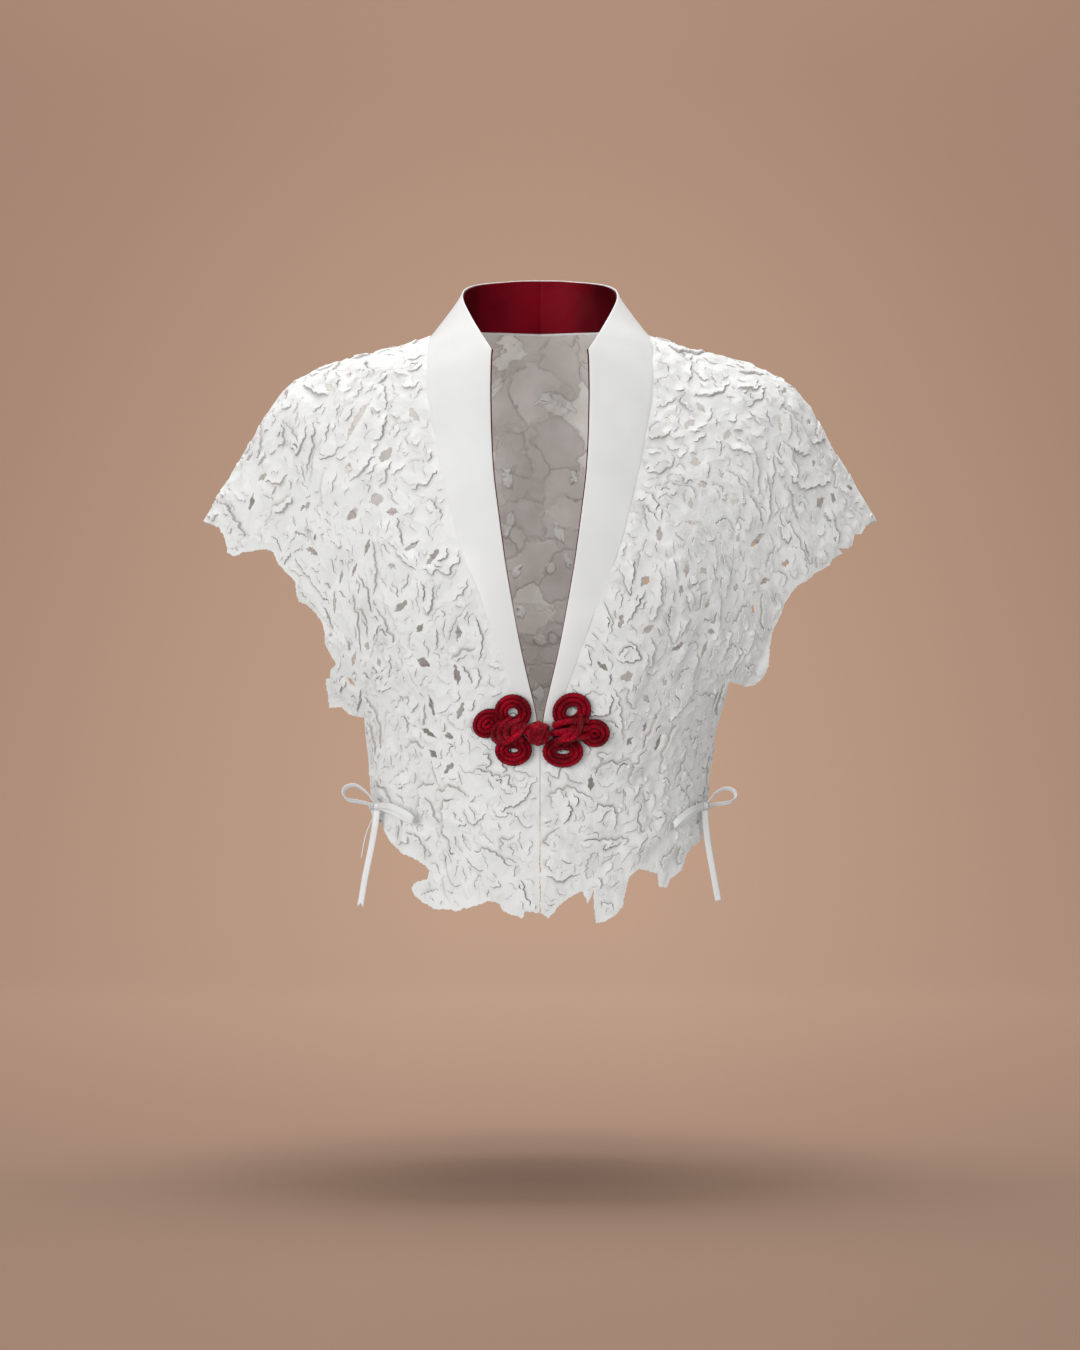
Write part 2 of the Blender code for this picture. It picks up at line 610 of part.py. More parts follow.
def band_sheet(lining):
    """The points of the band's inner surface, or of the lining's outer one, row by row."""
    rows = band_stations()
    seams, rims, neck = (np.array(part) for part in zip(*rows))
    along = np.gradient((seams + rims) / 2, axis=0)
    out = np.cross(rims - seams, along)
    out /= np.linalg.norm(out, axis=1, keepdims=True)
    width = np.linalg.norm(rims - seams, axis=1, keepdims=True)
    start, stop = np.zeros_like(width), np.ones_like(width)
    if lining:
        start = start + LINING_SEAM / width
        show = LINING_SHOW * (1 - neck) - LINING_DROP * neck
        stop = stop + np.minimum(show, rims[:, 0] - SEAM)[:, None] / width
    sheet = []
    for share in BAND_COLUMNS:
        t = start + (stop - start) * share
        sheet.append(seams + (rims - seams) * t + out * width * BAND_BULGE * 4 * t * (1 - t))
    sheet = np.stack(sheet, axis=1)
    if lining:
        normal = np.cross(np.gradient(sheet, axis=1), np.gradient(sheet, axis=0))
        sheet = sheet - normal / np.linalg.norm(normal, axis=2, keepdims=True) * 2 * SEAM
    return sheet


def band_half(name, side, lining):
    """One half of the band or of its lining, from the centre back seam to the foot of a front."""
    sheet = band_sheet(lining) * (side, 1, 1)
    sheet[0, :, 0] = side * CENTRE_BACK_GAP
    rows, columns = sheet.shape[:2]
    faces = [tuple(face) for face in grid_faces(rows, columns)]
    if (side == RIGHT) != lining:
        faces = [face[::-1] for face in faces]
    thickness = LINING_THICK if lining else BAND_THICK
    return shell(name, sheet.reshape(-1, 3), faces, thickness)


# ---- the frog ----------------------------------------------------------------------------------

FROG_LIFT = LACE_WALL + PETAL_RISE + 0.0004  # the loops' underside above the cloth's inner surface
FROG_SIDES, FROG_POINTS = 1, 14  # bevel resolution, and points round each strand of a loop

# The loops of each half: middle (x, z), half width and half height of the outer strand, the lean
# of the long way in degrees, and how many strands lie inside each other.
FROG_LOOPS = {
    RIGHT: [
        (0.0235, -0.3275, 0.0140, 0.0135, 0, 2),
        (0.0240, -0.3610, 0.0140, 0.0125, 0, 2),
        (0.0480, -0.3360, 0.0115, 0.0105, -25, 2),
    ],
    LEFT: [
        (0.0275, -0.3250, 0.0150, 0.0130, 25, 2),
        (0.0205, -0.3620, 0.0155, 0.0115, 0, 2),
        (0.0500, -0.3450, 0.0115, 0.0110, 0, 2),
    ],
}
# The knot that gathers the loops, as short turns of cord: start and end (x, z) of each.
FROG_TURNS = {
    RIGHT: [((0.0128, -0.3425), (0.0430, -0.3420)), ((0.0150, -0.3520), (0.0380, -0.3310))],
    LEFT: [((0.0098, -0.3445), (0.0440, -0.3450)), ((0.0115, -0.3510), (0.0400, -0.3340))],
}
TURN_RADIUS = 0.0031
TURN_ENDS, TURN_CREST = 0.0075, 0.0092  # the turns' middle above the cloth, at the ends and between
BUTTON_AT, BUTTON_RADIUS = (-0.0016, -0.3460), (0.0108, 0.0078, 0.0104)
BUTTON_LIFT = FROG_LIFT + BUTTON_RADIUS[1]
FRONT_TOP = LACE_WALL + PETAL_RISE + SEAM  # just clear of the petals


def cord_mesh(name, points, closed, radius):
    """A rolled cord along points, as a closed mesh."""
    curve = bpy.data.curves.new(name, "CURVE")
    curve.dimensions = "3D"
    curve.bevel_depth = radius
    curve.bevel_resolution = FROG_SIDES
    curve.use_fill_caps = True
    spline = curve.splines.new("POLY")
    spline.points.add(len(points) - 1)
    for point, at in zip(spline.points, points):
        point.co = (*at, 1)
    spline.use_cyclic_u = closed
    guide = add_object(name, curve)
    seen = guide.evaluated_get(bpy.context.evaluated_depsgraph_get())
    mesh = bpy.data.meshes.new_from_object(seen)
    bpy.data.objects.remove(guide)
    work = bmesh.new()
    work.from_mesh(mesh)
    bmesh.ops.remove_doubles(work, verts=work.verts, dist=1e-6)
    bmesh.ops.recalc_face_normals(work, faces=work.faces)
    work.to_mesh(mesh)
    work.free()
    return mesh


def united(name, meshes):
    """One object that joins closed meshes which overlap."""
    piece = add_object(name, meshes[0])
    for i, mesh in enumerate(meshes[1:]):
        cutter = bpy.data.objects.new(f"{name}_{i}", mesh)
        bpy.data.collections[CUTTERS].objects.link(cutter)
        cutter.hide_render = True
        cutter.display_type = "WIRE"
        joint = piece.modifiers.new(f"Join {i}", "BOOLEAN")
        joint.operation = "UNION"
        joint.object = cutter
    return piece


def frog_half(name, side):
    """Three looped petals of cord and the knot that gathers them."""
    meshes = []
    for x, z, wide, tall, lean, strands in FROG_LOOPS[side]:
        turn = math.radians(lean)
        for strand in range(strands):
            shrink = strand * 1.5 * CORD_RADIUS
            points = []
            for i in range(FROG_POINTS - 3 * strand):
                angle = 2 * math.pi * i / (FROG_POINTS - 3 * strand)
                a = (wide - CORD_RADIUS - shrink) * math.cos(angle)
                b = (tall - CORD_RADIUS - shrink) * math.sin(angle)
                at_x = x + a * math.cos(turn) - b * math.sin(turn)
                at_z = z + a * math.sin(turn) + b * math.cos(turn)
                points.append(on_face(FRONT, at_x, at_z, FROG_LIFT + CORD_RADIUS))
            meshes.append(cord_mesh(name, np.array(points) * (side, 1, 1), True, CORD_RADIUS))
    for start, end in FROG_TURNS[side]:
        points = []
        for t in np.linspace(0, 1, 7):
            at_x, at_z = np.array(start) * (1 - t) + np.array(end) * t
            lift = TURN_ENDS + (TURN_CREST - TURN_ENDS) * math.sqrt(math.sin(math.pi * t))
            points.append(on_face(FRONT, at_x, at_z, lift))
        meshes.append(cord_mesh(name, np.array(points) * (side, 1, 1), False, TURN_RADIUS))
    return united(name, meshes)


def frog_button():
    """The ball knot that passes through the other half's loop."""
    bpy.ops.mesh.primitive_uv_sphere_add(segments=12, ring_count=8, radius=1)
    piece = bpy.context.object
    piece.name = piece.data.name = "frog_button"
    place = on_face(FRONT, abs(BUTTON_AT[0]), BUTTON_AT[1], BUTTON_LIFT)
    place[0] = BUTTON_AT[0]
    for vertex in piece.data.vertices:
        vertex.co = Vector(place) + Vector(c * r for c, r in zip(vertex.co, BUTTON_RADIUS))
    piece.data.shade_smooth()
    for owner in list(piece.users_collection):
        owner.objects.unlink(piece)
    bpy.data.collections[BLOUSE].objects.link(piece)
    return piece


# ---- the ribbon ties ---------------------------------------------------------------------------

# Each tie's knot as (x, z) on the front, and its ribbons' routes on the wearer's own side, after
# the way that the ribbon's width lies: (x, y, z) steps away from the knot, or for the inner loop,
# which lies along the front, a step in x, the height above the cloth, and a step in z.
TIE_KNOT = {RIGHT: (0.1345, -0.4105), LEFT: (0.1365, -0.4105)}
TIE_ROUTES = {
    RIGHT: {
        "loop_outer": ((0.25, -0.75, 0.60), [
            (0.003, -0.001, 0.003), (0.010, -0.003, 0.012), (0.019, -0.004, 0.0180),
            (0.027, -0.004, 0.0165), (0.0295, -0.002, 0.0110), (0.026, 0.001, 0.0055),
            (0.017, 0.003, 0.0035), (0.009, 0.003, 0.0018), (0.0045, 0.001, 0.0005),
        ]),
        "loop_inner": ((0.0, 0.25, 0.95), [
            (-0.0045, 0.0105, 0.0010), (-0.012, 0.0125, 0.0000), (-0.020, 0.0130, -0.0035),
            (-0.0275, 0.0120, -0.0085), (-0.0305, 0.0095, -0.0125), (-0.027, 0.0072, -0.0120),
            (-0.019, 0.0068, -0.0085), (-0.011, 0.0072, -0.0040), (-0.0045, 0.0080, -0.0008),
        ]),
        "tail_front": ((1.0, 0.15, 0.0), [
            (0.0004, -0.0016, -0.0038), (0.002, -0.0020, -0.016), (0.0055, 0.000, -0.036),
            (0.0105, 0.001, -0.060), (0.0150, 0.001, -0.0865),
        ]),
        "tail_back": ((0.15, 1.0, 0.0), [
            (0.0005, 0.0019, -0.0038), (0.0050, 0.0070, -0.012), (0.0110, 0.0100, -0.026),
            (0.0150, 0.0100, -0.046),
        ]),
    },
    LEFT: {
        "loop_outer": ((0.25, -0.75, 0.60), [
            (0.003, -0.001, 0.003), (0.009, -0.003, 0.0105), (0.017, -0.004, 0.0150),
            (0.024, -0.004, 0.0140), (0.0265, -0.002, 0.0090), (0.023, 0.001, 0.0035),
            (0.015, 0.003, 0.0015), (0.009, 0.003, 0.0010), (0.0045, 0.001, 0.0005),
        ]),
        "loop_inner": ((0.0, 0.25, 0.95), [
            (-0.0045, 0.0105, 0.0000), (-0.011, 0.0125, -0.0015), (-0.018, 0.0130, -0.0055),
            (-0.0245, 0.0120, -0.0115), (-0.0270, 0.0095, -0.0155), (-0.023, 0.0072, -0.0155),
            (-0.016, 0.0068, -0.0110), (-0.010, 0.0072, -0.0050), (-0.0045, 0.0080, -0.0008),
        ]),
        "tail_front": ((1.0, 0.15, 0.0), [
            (0.0002, -0.0016, -0.0038), (0.001, -0.0020, -0.016), (0.0035, 0.000, -0.036),
            (0.0075, 0.001, -0.058), (0.0120, 0.001, -0.0830),
        ]),
        "tail_back": ((0.15, 1.0, 0.0), [
            (0.0004, 0.0019, -0.0038), (0.0026, 0.0080, -0.014), (0.0060, 0.0110, -0.030),
            (0.0085, 0.0120, -0.050),
        ]),
    },
}
KNOT_RADIUS = (0.0036, 0.0030, 0.0032)
RIBBON_STEP = 0.004  # about how far apart the points of a ribbon's route are
LACING_BACK = 0.026  # how far the ribbon runs onto the back panel, towards the centre


def smooth_route(points, step):
    """Points about a step apart on a Catmull-Rom curve through the given ones."""
    points = np.array(points, float)
    ends = np.concatenate([[2 * points[0] - points[1]], points, [2 * points[-1] - points[-2]]])
    route = [points[0]]
    for a, b, c, d in zip(ends, ends[1:], ends[2:], ends[3:]):
        count = max(1, round(float(np.linalg.norm(c - b)) / step))
        for t in np.linspace(0, 1, count + 1)[1:]:
            curve = 2 * b + (c - a) * t + (2 * a - 5 * b + 4 * c - d) * t**2
            route.append((curve + (3 * b - a - 3 * c + d) * t**3) / 2)
    return np.array(route)


def ribbon(name, route, width_way, side):
    """A flat ribbon along a route, with its width as near as can be to the given way."""
    route = np.array(route)
    along = np.gradient(route, axis=0)
    along /= np.linalg.norm(along, axis=1, keepdims=True)
    way = np.broadcast_to(np.array(width_way, float), route.shape)
    way = way - (way * along).sum(axis=1, keepdims=True) * along
    way /= np.linalg.norm(way, axis=1, keepdims=True)
    sheet = np.stack([route - way * RIBBON_WIDTH / 2, route + way * RIBBON_WIDTH / 2], axis=1)
    sheet = sheet.reshape(-1, 3) * (side, 1, 1)
    piece = shell(name, sheet, grid_faces(len(route), 2), RIBBON_THICK)
    piece.modifiers["Wall"].offset = 0
    return piece


def on_knot(knot, point):
    """The point just clear of the knot's surface on the way to another."""
    way = (point - knot) / np.linalg.norm(point - knot)
    return knot + way * (1 / np.linalg.norm(way / KNOT_RADIUS) + SEAM)


def tie(side, label):
    """A ribbon threaded through the lace's two side edges and tied in a bow in front."""
    x, z = TIE_KNOT[side]
    lift = FRONT_TOP + RIBBON_THICK + 2 * SEAM + KNOT_RADIUS[1]
    knot = on_face(FRONT, x, z, lift)
    bpy.ops.mesh.primitive_uv_sphere_add(segments=10, ring_count=7, radius=1)
    piece = bpy.context.object
    piece.name = piece.data.name = f"tie_{label}_knot"
    for vertex in piece.data.vertices:
        at = knot + np.array(vertex.co) * KNOT_RADIUS
        vertex.co = at * (side, 1, 1)
    piece.data.shade_smooth()
    for owner in list(piece.users_collection):
        owner.objects.unlink(piece)
    bpy.data.collections[BLOUSE].objects.link(piece)
    if side == RIGHT:
        piece.data.flip_normals()
    pieces = [piece]
    for part, (way, steps) in TIE_ROUTES[side].items():
        points = knot + np.array(steps)
        if part == "loop_inner":
            points = np.array([on_face(FRONT, x + a, z + b, height) for a, height, b in steps])
        if part.startswith("loop"):
            points[0], points[-1] = on_knot(knot, points[0]), on_knot(knot, points[-1])
        route = smooth_route(points, RIBBON_STEP)
        pieces.append(ribbon(f"tie_{label}_{part}", route, way, side))
    pieces.append(lacing(side, label, x, z))
    return pieces


def lacing(side, label, x, z):
    """The stretch of ribbon from under the knot, round the side and onto the back."""
    lift = FRONT_TOP + RIBBON_THICK / 2
    across, down = spot(FRONT, x - 0.004, z)
    spots = [(FRONT, a) for a in np.linspace(across, 0.985, 6)]
    back_across = spot(BACK, x - LACING_BACK / 3, z)[0]
    spots += [(BACK, a) for a in np.linspace(0.985, back_across, 6)]
    route = [cloth(face, a, down) + lift * outward(face, a, down) for face, a in spots]
    return ribbon(f"tie_{label}_lacing", smooth_route(route, RIBBON_STEP), (0, 0, 1), side)


# ---- the whole blouse --------------------------------------------------------------------------

BLOUSE, CUTTERS = "kebaya_blouse", "cutters"
LACE_WHITE, SATIN_WHITE = (0.84, 0.835, 0.825), (0.89, 0.89, 0.89)
LINING_RED, FROG_RED = (0.155, 0.004, 0.014), (0.38, 0.006, 0.022)


def start():
    """Clears the scene and makes its two collections."""
    for thing in list(bpy.data.objects):
        bpy.data.objects.remove(thing)
    for name in (BLOUSE, CUTTERS):
        made = bpy.data.collections.new(name)
        bpy.context.scene.collection.children.link(made)


def main():
    start()
    lace = material("guipure_lace", LACE_WHITE, 0.85, 0.2)
    satin = material("white_satin", SATIN_WHITE, 0.45, 0.2)
    lining = material("red_lining", LINING_RED, 0.55, 0.2)
    cord = material("red_satin_cord", FROG_RED, 0.45, 0.2)
    panels = [
        lace_panel("front_right", FRONT, RIGHT, front_outline(RIGHT), 11),
        lace_panel("front_left", FRONT, LEFT, front_outline(LEFT), 12),
        lace_panel("back", BACK, LEFT, back_outline(), 13),
    ]
    bands = [band_half("collar_right", RIGHT, False), band_half("collar_left", LEFT, False)]
    linings = [
        band_half("collar_lining_right", RIGHT, True),
        band_half("collar_lining_left", LEFT, True),
    ]
    frog = [frog_half("frog_right", RIGHT), frog_half("frog_left", LEFT), frog_button()]
    ties = tie(RIGHT, "right") + tie(LEFT, "left")
    for pieces, made in ((panels, lace), (bands + ties, satin), (linings, lining), (frog, cord)):
        for piece in pieces:
            piece.data.materials.append(made)


main()
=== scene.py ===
"""The looks of the lace kebaya blouse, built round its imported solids.

Units are metres, +Z is up and the front faces -Y. "Right" and "left" are the wearer's, so right
is -X. The body form, the edges of the lace and the routes of cord and ribbon repeat the solids'
own sizes, so that each piece lies where its solid lies. On each face of the form "across" runs
from the centre to the side and "down" from the shoulder line to the hem, both from 0 to 1.
"""

import math

import bpy
import numpy as np
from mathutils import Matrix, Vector
from mathutils.geometry import delaunay_2d_cdt
from mathutils.kdtree import KDTree


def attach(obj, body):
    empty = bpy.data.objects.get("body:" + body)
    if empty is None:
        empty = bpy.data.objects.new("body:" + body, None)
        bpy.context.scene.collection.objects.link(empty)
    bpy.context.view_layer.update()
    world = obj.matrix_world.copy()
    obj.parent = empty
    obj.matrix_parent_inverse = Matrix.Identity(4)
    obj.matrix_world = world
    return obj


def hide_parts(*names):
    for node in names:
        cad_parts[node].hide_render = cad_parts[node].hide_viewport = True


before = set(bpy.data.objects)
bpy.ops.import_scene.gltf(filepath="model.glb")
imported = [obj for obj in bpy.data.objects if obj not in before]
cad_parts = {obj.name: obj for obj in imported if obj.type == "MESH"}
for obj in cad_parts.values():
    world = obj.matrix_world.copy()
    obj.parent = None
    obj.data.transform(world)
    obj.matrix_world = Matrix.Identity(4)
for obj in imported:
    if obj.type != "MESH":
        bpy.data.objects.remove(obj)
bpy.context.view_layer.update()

# ---- sizes shared with the solids --------------------------------------------------------------

FRONT, BACK = -1, 1  # the sign of Y on each face
RIGHT, LEFT = -1, 1  # the sign of X on each side

FRONT_HEM, BACK_HEM, SIDE_HEM = -0.520, -0.475, -0.458  # the body form's lowest heights
ROUND_DOWN = 0.325  # share of "down" spent on rounding over the shoulder
ROUND_DROP = 0.25  # share of the drop reached by the end of that rounding
FLAP, FLAP_TURN = 0.24, 0.2  # metres of cloth for a unit of "across" past 1, and how far it turns in
LEAST_DEPTH = 0.0015  # the cloth's least depth from the shoulder line's plane
LOWEST_DOWN = 1.08  # how far down the cloth reaches
SEAM = 0.0003  # the gap left between sewn pieces

LACE_WALL, PETAL_RISE = 0.0014, 0.0016  # the lace's ground, and how far its petals stand above it
PETAL_PITCH = 0.027  # the least distance between the middles of two petals
RIBBON_WIDTH, RIBBON_THICK = 0.0055, 0.0010


def rows(text, lengths, others=0):
    """A table's rows: first some lengths, written in millimetres, then other numbers."""
    wide = lengths + others
    numbers = [float(word + "e-3" * (i % wide < lengths)) for i, word in enumerate(text.split())]
    return [tuple(numbers[i : i + wide]) for i in range(0, len(numbers), wide)]


def unit(vectors):
    """Vectors made one long."""
    return vectors / np.linalg.norm(vectors, axis=-1, keepdims=True)


def table(columns, lines):
    """A smooth function for each named column, over the values in the first, unnamed one."""
    at, *values = np.array(lines).T

    def reader(column):
        slope = np.gradient(column, at)

        def read(t):
            t = np.clip(t, at[0], at[-1])
            i = np.clip(np.searchsorted(at, t, side="right") - 1, 0, len(at) - 2)
            step = at[i + 1] - at[i]
            u = (t - at[i]) / step
            start = (1 + 2 * u) * (1 - u) ** 2 * column[i] + u * (1 - u) ** 2 * step * slope[i]
            end = u * u * (3 - 2 * u) * column[i + 1] + u * u * (u - 1) * step * slope[i + 1]
            return start + end

        return read

    return {name: reader(column) for name, column in zip(columns.split(), values)}


# The shoulder line and upper arm as seen from the front, as x and z. Inside x = 90 mm it is the
# neck's own slope, which only shapes the cloth around the neckline.
RIDGE = table("z", rows("""
    0 70  45 49  75 17.5  94 4  112 -2.5  136 -10  166 -17  188 -23.5
    206 -32  223 -43  236 -59  247 -77  262 -103  277 -127.5  299 -164
""", 2))

# Level sections of the body form, by their drop from the shoulder line (0) to the hem (1). width
# is half the form's width at its edge, turn the angle in degrees that the section turns through
# from the centre to the edge, and the depths are from the shoulder line's plane, at the centre of
# each face and at the edge.
BODY = table("width turn front back edge", rows("""
    0.00 0.299 72  0.070 0.078 0.030
    0.05 0.280 72  0.072 0.083 0.034
    0.12 0.252 72  0.077 0.090 0.040
    0.20 0.226 72  0.086 0.098 0.043
    0.30 0.205 73  0.101 0.102 0.043
    0.43 0.188 77  0.117 0.099 0.034
    0.53 0.171 84  0.117 0.091 0.016
    0.61 0.157 88  0.112 0.084 0.004
    0.72 0.150 88  0.103 0.077 0.002
    0.86 0.1475 88  0.097 0.079 0.002
    1.00 0.152 88  0.104 0.092 0.003
""", 0, 6))

# The fullness that the fronts are cut with at the bust.
BUST_ACROSS, BUST_DROP, BUST_RISE = 0.44, 0.43, 0.010
BUST_WIDE, BUST_TALL = 0.24, 0.17

# Soft folds: both ends as x and z, how far they stand out, and their half width.
FOLDS = {
    FRONT: rows("""
        -126 -418  -86 -452  5 9
        -112 -410  -70 -440  -3.5 8
        -168 -150  -150 -300  4 12
        -190 -190  -172 -270  -3 10
        176 -110  182 -240  4.5 12
        150 -260  118 -380  4 13
        112 -250  90 -350  -3 12
        128 -412  80 -446  4 10
    """, 6),
    BACK: rows("""
        -120 -130  -70 -330  4 16
        110 -150  85 -360  4.5 16
        10 -280  4 -450  3.5 18
    """, 6),
}


# ---- the body form -----------------------------------------------------------------------------


def rounding(down):
    """(drop, fullness) for a way down: a quarter ellipse over the shoulder, then straight."""
    angle = np.clip(down / ROUND_DOWN, 0, 1) * math.pi / 2
    rest = np.clip((down - ROUND_DOWN) / (1 - ROUND_DOWN), 0, None)
    return ROUND_DROP * (1 - np.cos(angle)) + (1 - ROUND_DROP) * rest, np.sin(angle)


def fold_rise(face, x, z):
    """How far the soft folds lift the cloth at (x, z)."""
    rise = np.zeros(np.shape(x))
    for x_start, z_start, x_end, z_end, height, half_width in FOLDS[face]:
        along = np.array([x_end - x_start, z_end - z_start])
        t = ((x - x_start) * along[0] + (z - z_start) * along[1]) / (along @ along)
        near = np.clip(t, 0, 1)
        away = np.hypot(x - x_start - near * along[0], z - z_start - near * along[1])
        rise = rise + height * np.exp(-((away / half_width) ** 2))
    return rise


def cloth(face, across, down):
    """The place of the cloth's inner surface, as an array of points."""
    across, down = np.broadcast_arrays(np.asarray(across, float), np.asarray(down, float))
    side, share = np.sign(across), np.minimum(np.abs(across), 1)
    flap = np.maximum(np.abs(across) - 1, 0) * FLAP
    drop, fullness = rounding(down)
    turn = np.radians(BODY["turn"](drop))
    reach = np.sin(share * turn) / np.sin(turn)
    bend = (1 - np.cos(share * turn)) / (1 - np.cos(turn))
    x = BODY["width"](drop) * reach + flap
    depth = BODY["front" if face == FRONT else "back"](drop)
    depth = (depth * (1 - bend) + BODY["edge"](drop) * bend) * fullness
    if face == FRONT:
        level = np.exp(-(((drop - BUST_DROP) / BUST_TALL) ** 2))
        depth = depth + BUST_RISE * level * np.exp(-(((share - BUST_ACROSS) / BUST_WIDE) ** 2))
    depth = np.maximum(depth - FLAP_TURN * flap, LEAST_DEPTH * fullness)
    ridge_turn = math.radians(float(BODY["turn"](0)))
    ridge_x = float(BODY["width"](0)) * np.sin(share * ridge_turn) / math.sin(ridge_turn)
    middle = FRONT_HEM if face == FRONT else BACK_HEM
    z = RIDGE["z"](ridge_x) * (1 - drop) + (middle + (SIDE_HEM - middle) * reach**2) * drop
    depth = depth + fold_rise(face, side * x, z) * fullness * np.cos(share * math.pi / 2)
    return np.stack([side * x, face * (depth + SEAM / 2), z], axis=-1)


def outward(face, across, down):
    """The cloth's outward direction."""
    step = 1e-4
    by_across = cloth(face, across + step, down) - cloth(face, across - step, down)
    low = np.maximum(down - step, 0)
    by_down = cloth(face, across, down + step) - cloth(face, across, low)
    return unit(np.cross(by_across, by_down) * face)


def metric(face, across, down):
    """Metres of cloth for each unit of across and of down, near a spot or each of some spots."""
    step = 1e-3
    down = np.maximum(down, step)
    by_across = cloth(face, across + step, down) - cloth(face, across - step, down)
    by_down = cloth(face, across, down + step) - cloth(face, across, down - step)
    return np.linalg.norm(np.stack([by_across, by_down], axis=-2), axis=-1) / (2 * step)


def spot(face, x, z):
    """The (across, down) of the point that the front view shows at (x, z)."""
    low, high = 0.0, LOWEST_DOWN
    for _ in range(48):
        down = (low + high) / 2
        drop = rounding(down)[0]
        turn = math.radians(float(BODY["turn"](drop)))
        width = float(BODY["width"](drop))
        if abs(x) <= width:
            across = math.asin(abs(x) / width * math.sin(turn)) / turn
        else:
            across = 1 + (abs(x) - width) / FLAP
        if cloth(face, across, down)[2] > z:
            low = down
        else:
            high = down
    return math.copysign(across, x), down


def spots(face, places):
    """The spot of each (x, z)."""
    return [spot(face, x, z) for x, z in places]


def on_face(face, x, z, lift=0.0):
    """The point at (x, z) on a face, lifted clear of the cloth's inner surface."""
    across, down = spot(face, x, z)
    return cloth(face, across, down) + lift * outward(face, across, down)


# ---- the edges of the lace ---------------------------------------------------------------------

# The collar band's stations. Round the neck: where its seam lies on the back face, as x and z, and
# where its rim stands, as x, y and z. Down each front: its seam and its free edge, both as x and z
# on the front face, from the corner at the top of the neckline to the foot.
BAND_NECK = rows("""
    0 12  0 70 62
    16 12  18 67.5 61.5
    30 12  34 61.5 59.6
    45 11.5  48 52 57.1
    58 10.5  58.5 39.5 53.7
    70 9  65.2 25 48.8
    80 6.8  67.6 10 43.3
    92 4.4  67.5 -6 35.5
""", 5)
BAND_SHOULDER = rows("95 -1 3.2  63.5 -23.5 24.5", 3)  # seam and rim, both as x, y and z
BAND_CORNER = rows("97.4 -6  53.9 -45 5.4", 5)[0]  # seam as x and z on the front, rim as x, y, z
BAND_FRONT = rows("""
    98.5 -16  41.5 -15
    97.8 -34  42.2 -22
    97 -50  42.6 -42
    95 -66  42.5 -62
    89 -98  41.5 -95
    84 -124  39.5 -125
    77.5 -149  36.2 -152
    70.5 -178  32.2 -182
    63 -201  28.7 -206
    46.5 -242  22 -245
    35.3 -274  16 -276
    23.5 -305  9.3 -305
    16.5 -326  4 -328
    11 -349  1.3 -349
""", 4)
BAND_GAP = -0.0006  # the lace goes this far under the band, as a step away from it
BACK_NECK_GAP = 0.0006  # where the back's lace starts at the band, as a share of "down"
BACK_NECK_WIDE = 1.015  # and how much wider than the band's seam it is cut
RIDGE_ACROSS = np.linspace(0.248, 0.985, 13)  # the shoulder seam's points, from the band outwards
SIDE_DOWN = (0.705, 0.775, 0.885)  # the side edge's points
CENTRE_FRONT = (-0.430, -0.499)  # heights of the centre front edge's points, below the band's foot

# The scalloped edges, as x and z on the wearer's own side: the hem from the centre front round to
# the side, then the armhole from the side up to the tip of the sleeve.
HEM = {
    RIGHT: rows("""
        13 -498  15.5 -503.5  21 -501.5  30.5 -498  35.5 -491  44.5 -489  55.5 -493.5  70.5 -498
        81 -497  90.5 -497  98.5 -492.5  106.5 -487  110 -480.5  106.5 -475  97.5 -472.5
        93.5 -465  97 -461.5  108.5 -454  118.5 -451  125 -445  130 -440.5  135.5 -431.5
        138 -422.5
    """, 2),
    LEFT: rows("""
        7.5 -503.5  16 -493  28.5 -483.5  36 -481  38.5 -486  40.5 -491.5  43 -486  45.5 -480
        46 -496  47.5 -508  55.5 -506.5  63 -502  70 -495  73 -481.5  76 -469.5  84.5 -462.5
        94 -465.5  101 -467  102 -478.5  109 -479  111.5 -472.5  122 -465  126 -452.5
        132.5 -445  140.5 -441  142.5 -430.5
    """, 2),
}
ARMHOLE = {
    RIGHT: rows("""
        153 -333  168.5 -330.5  174.5 -324  185.5 -325  186.5 -312.5  187.5 -300  182 -291.5
        176.5 -286.5  182 -277.5  186 -269  186 -261  188 -251.5  194.5 -242.5  202 -234.5
        209 -233  211 -226  212 -215.5  222.5 -205  228 -198  232 -189.5  238.5 -187
        249.5 -188  261.5 -190  269 -192.5  273.5 -190  274.5 -182.5  277 -174  281.5 -167
        290.5 -163.5
    """, 2),
    LEFT: rows("""
        162.5 -313  163.5 -302  177 -304.5  187.5 -305  195.5 -297.5  199.5 -287  200 -273.5
        201.5 -262  205.5 -250.5  210 -241.5  212.5 -233.5  218 -225.5  224 -218.5  231 -215
        240.5 -207  252.5 -201  255 -195  264.5 -190  260 -185  269.5 -186  273 -183
        275.5 -173  281.5 -173  285.5 -166.5  289.5 -163
    """, 2),
}
HEM_HOLE = rows("37 -464  39.5 -454  46 -448  50.5 -447.5  50 -459  46 -469  39.5 -470.5", 2)
# The back's armholes lie a little inside the fronts': the tips of their lace.
BACK_ARMHOLE = rows("""
    290 -164  278 -170  263 -178  244 -186  225 -195  210 -209  199 -226  188 -244  179 -262
    170 -280  164 -302  157 -323  150 -344
""", 2)

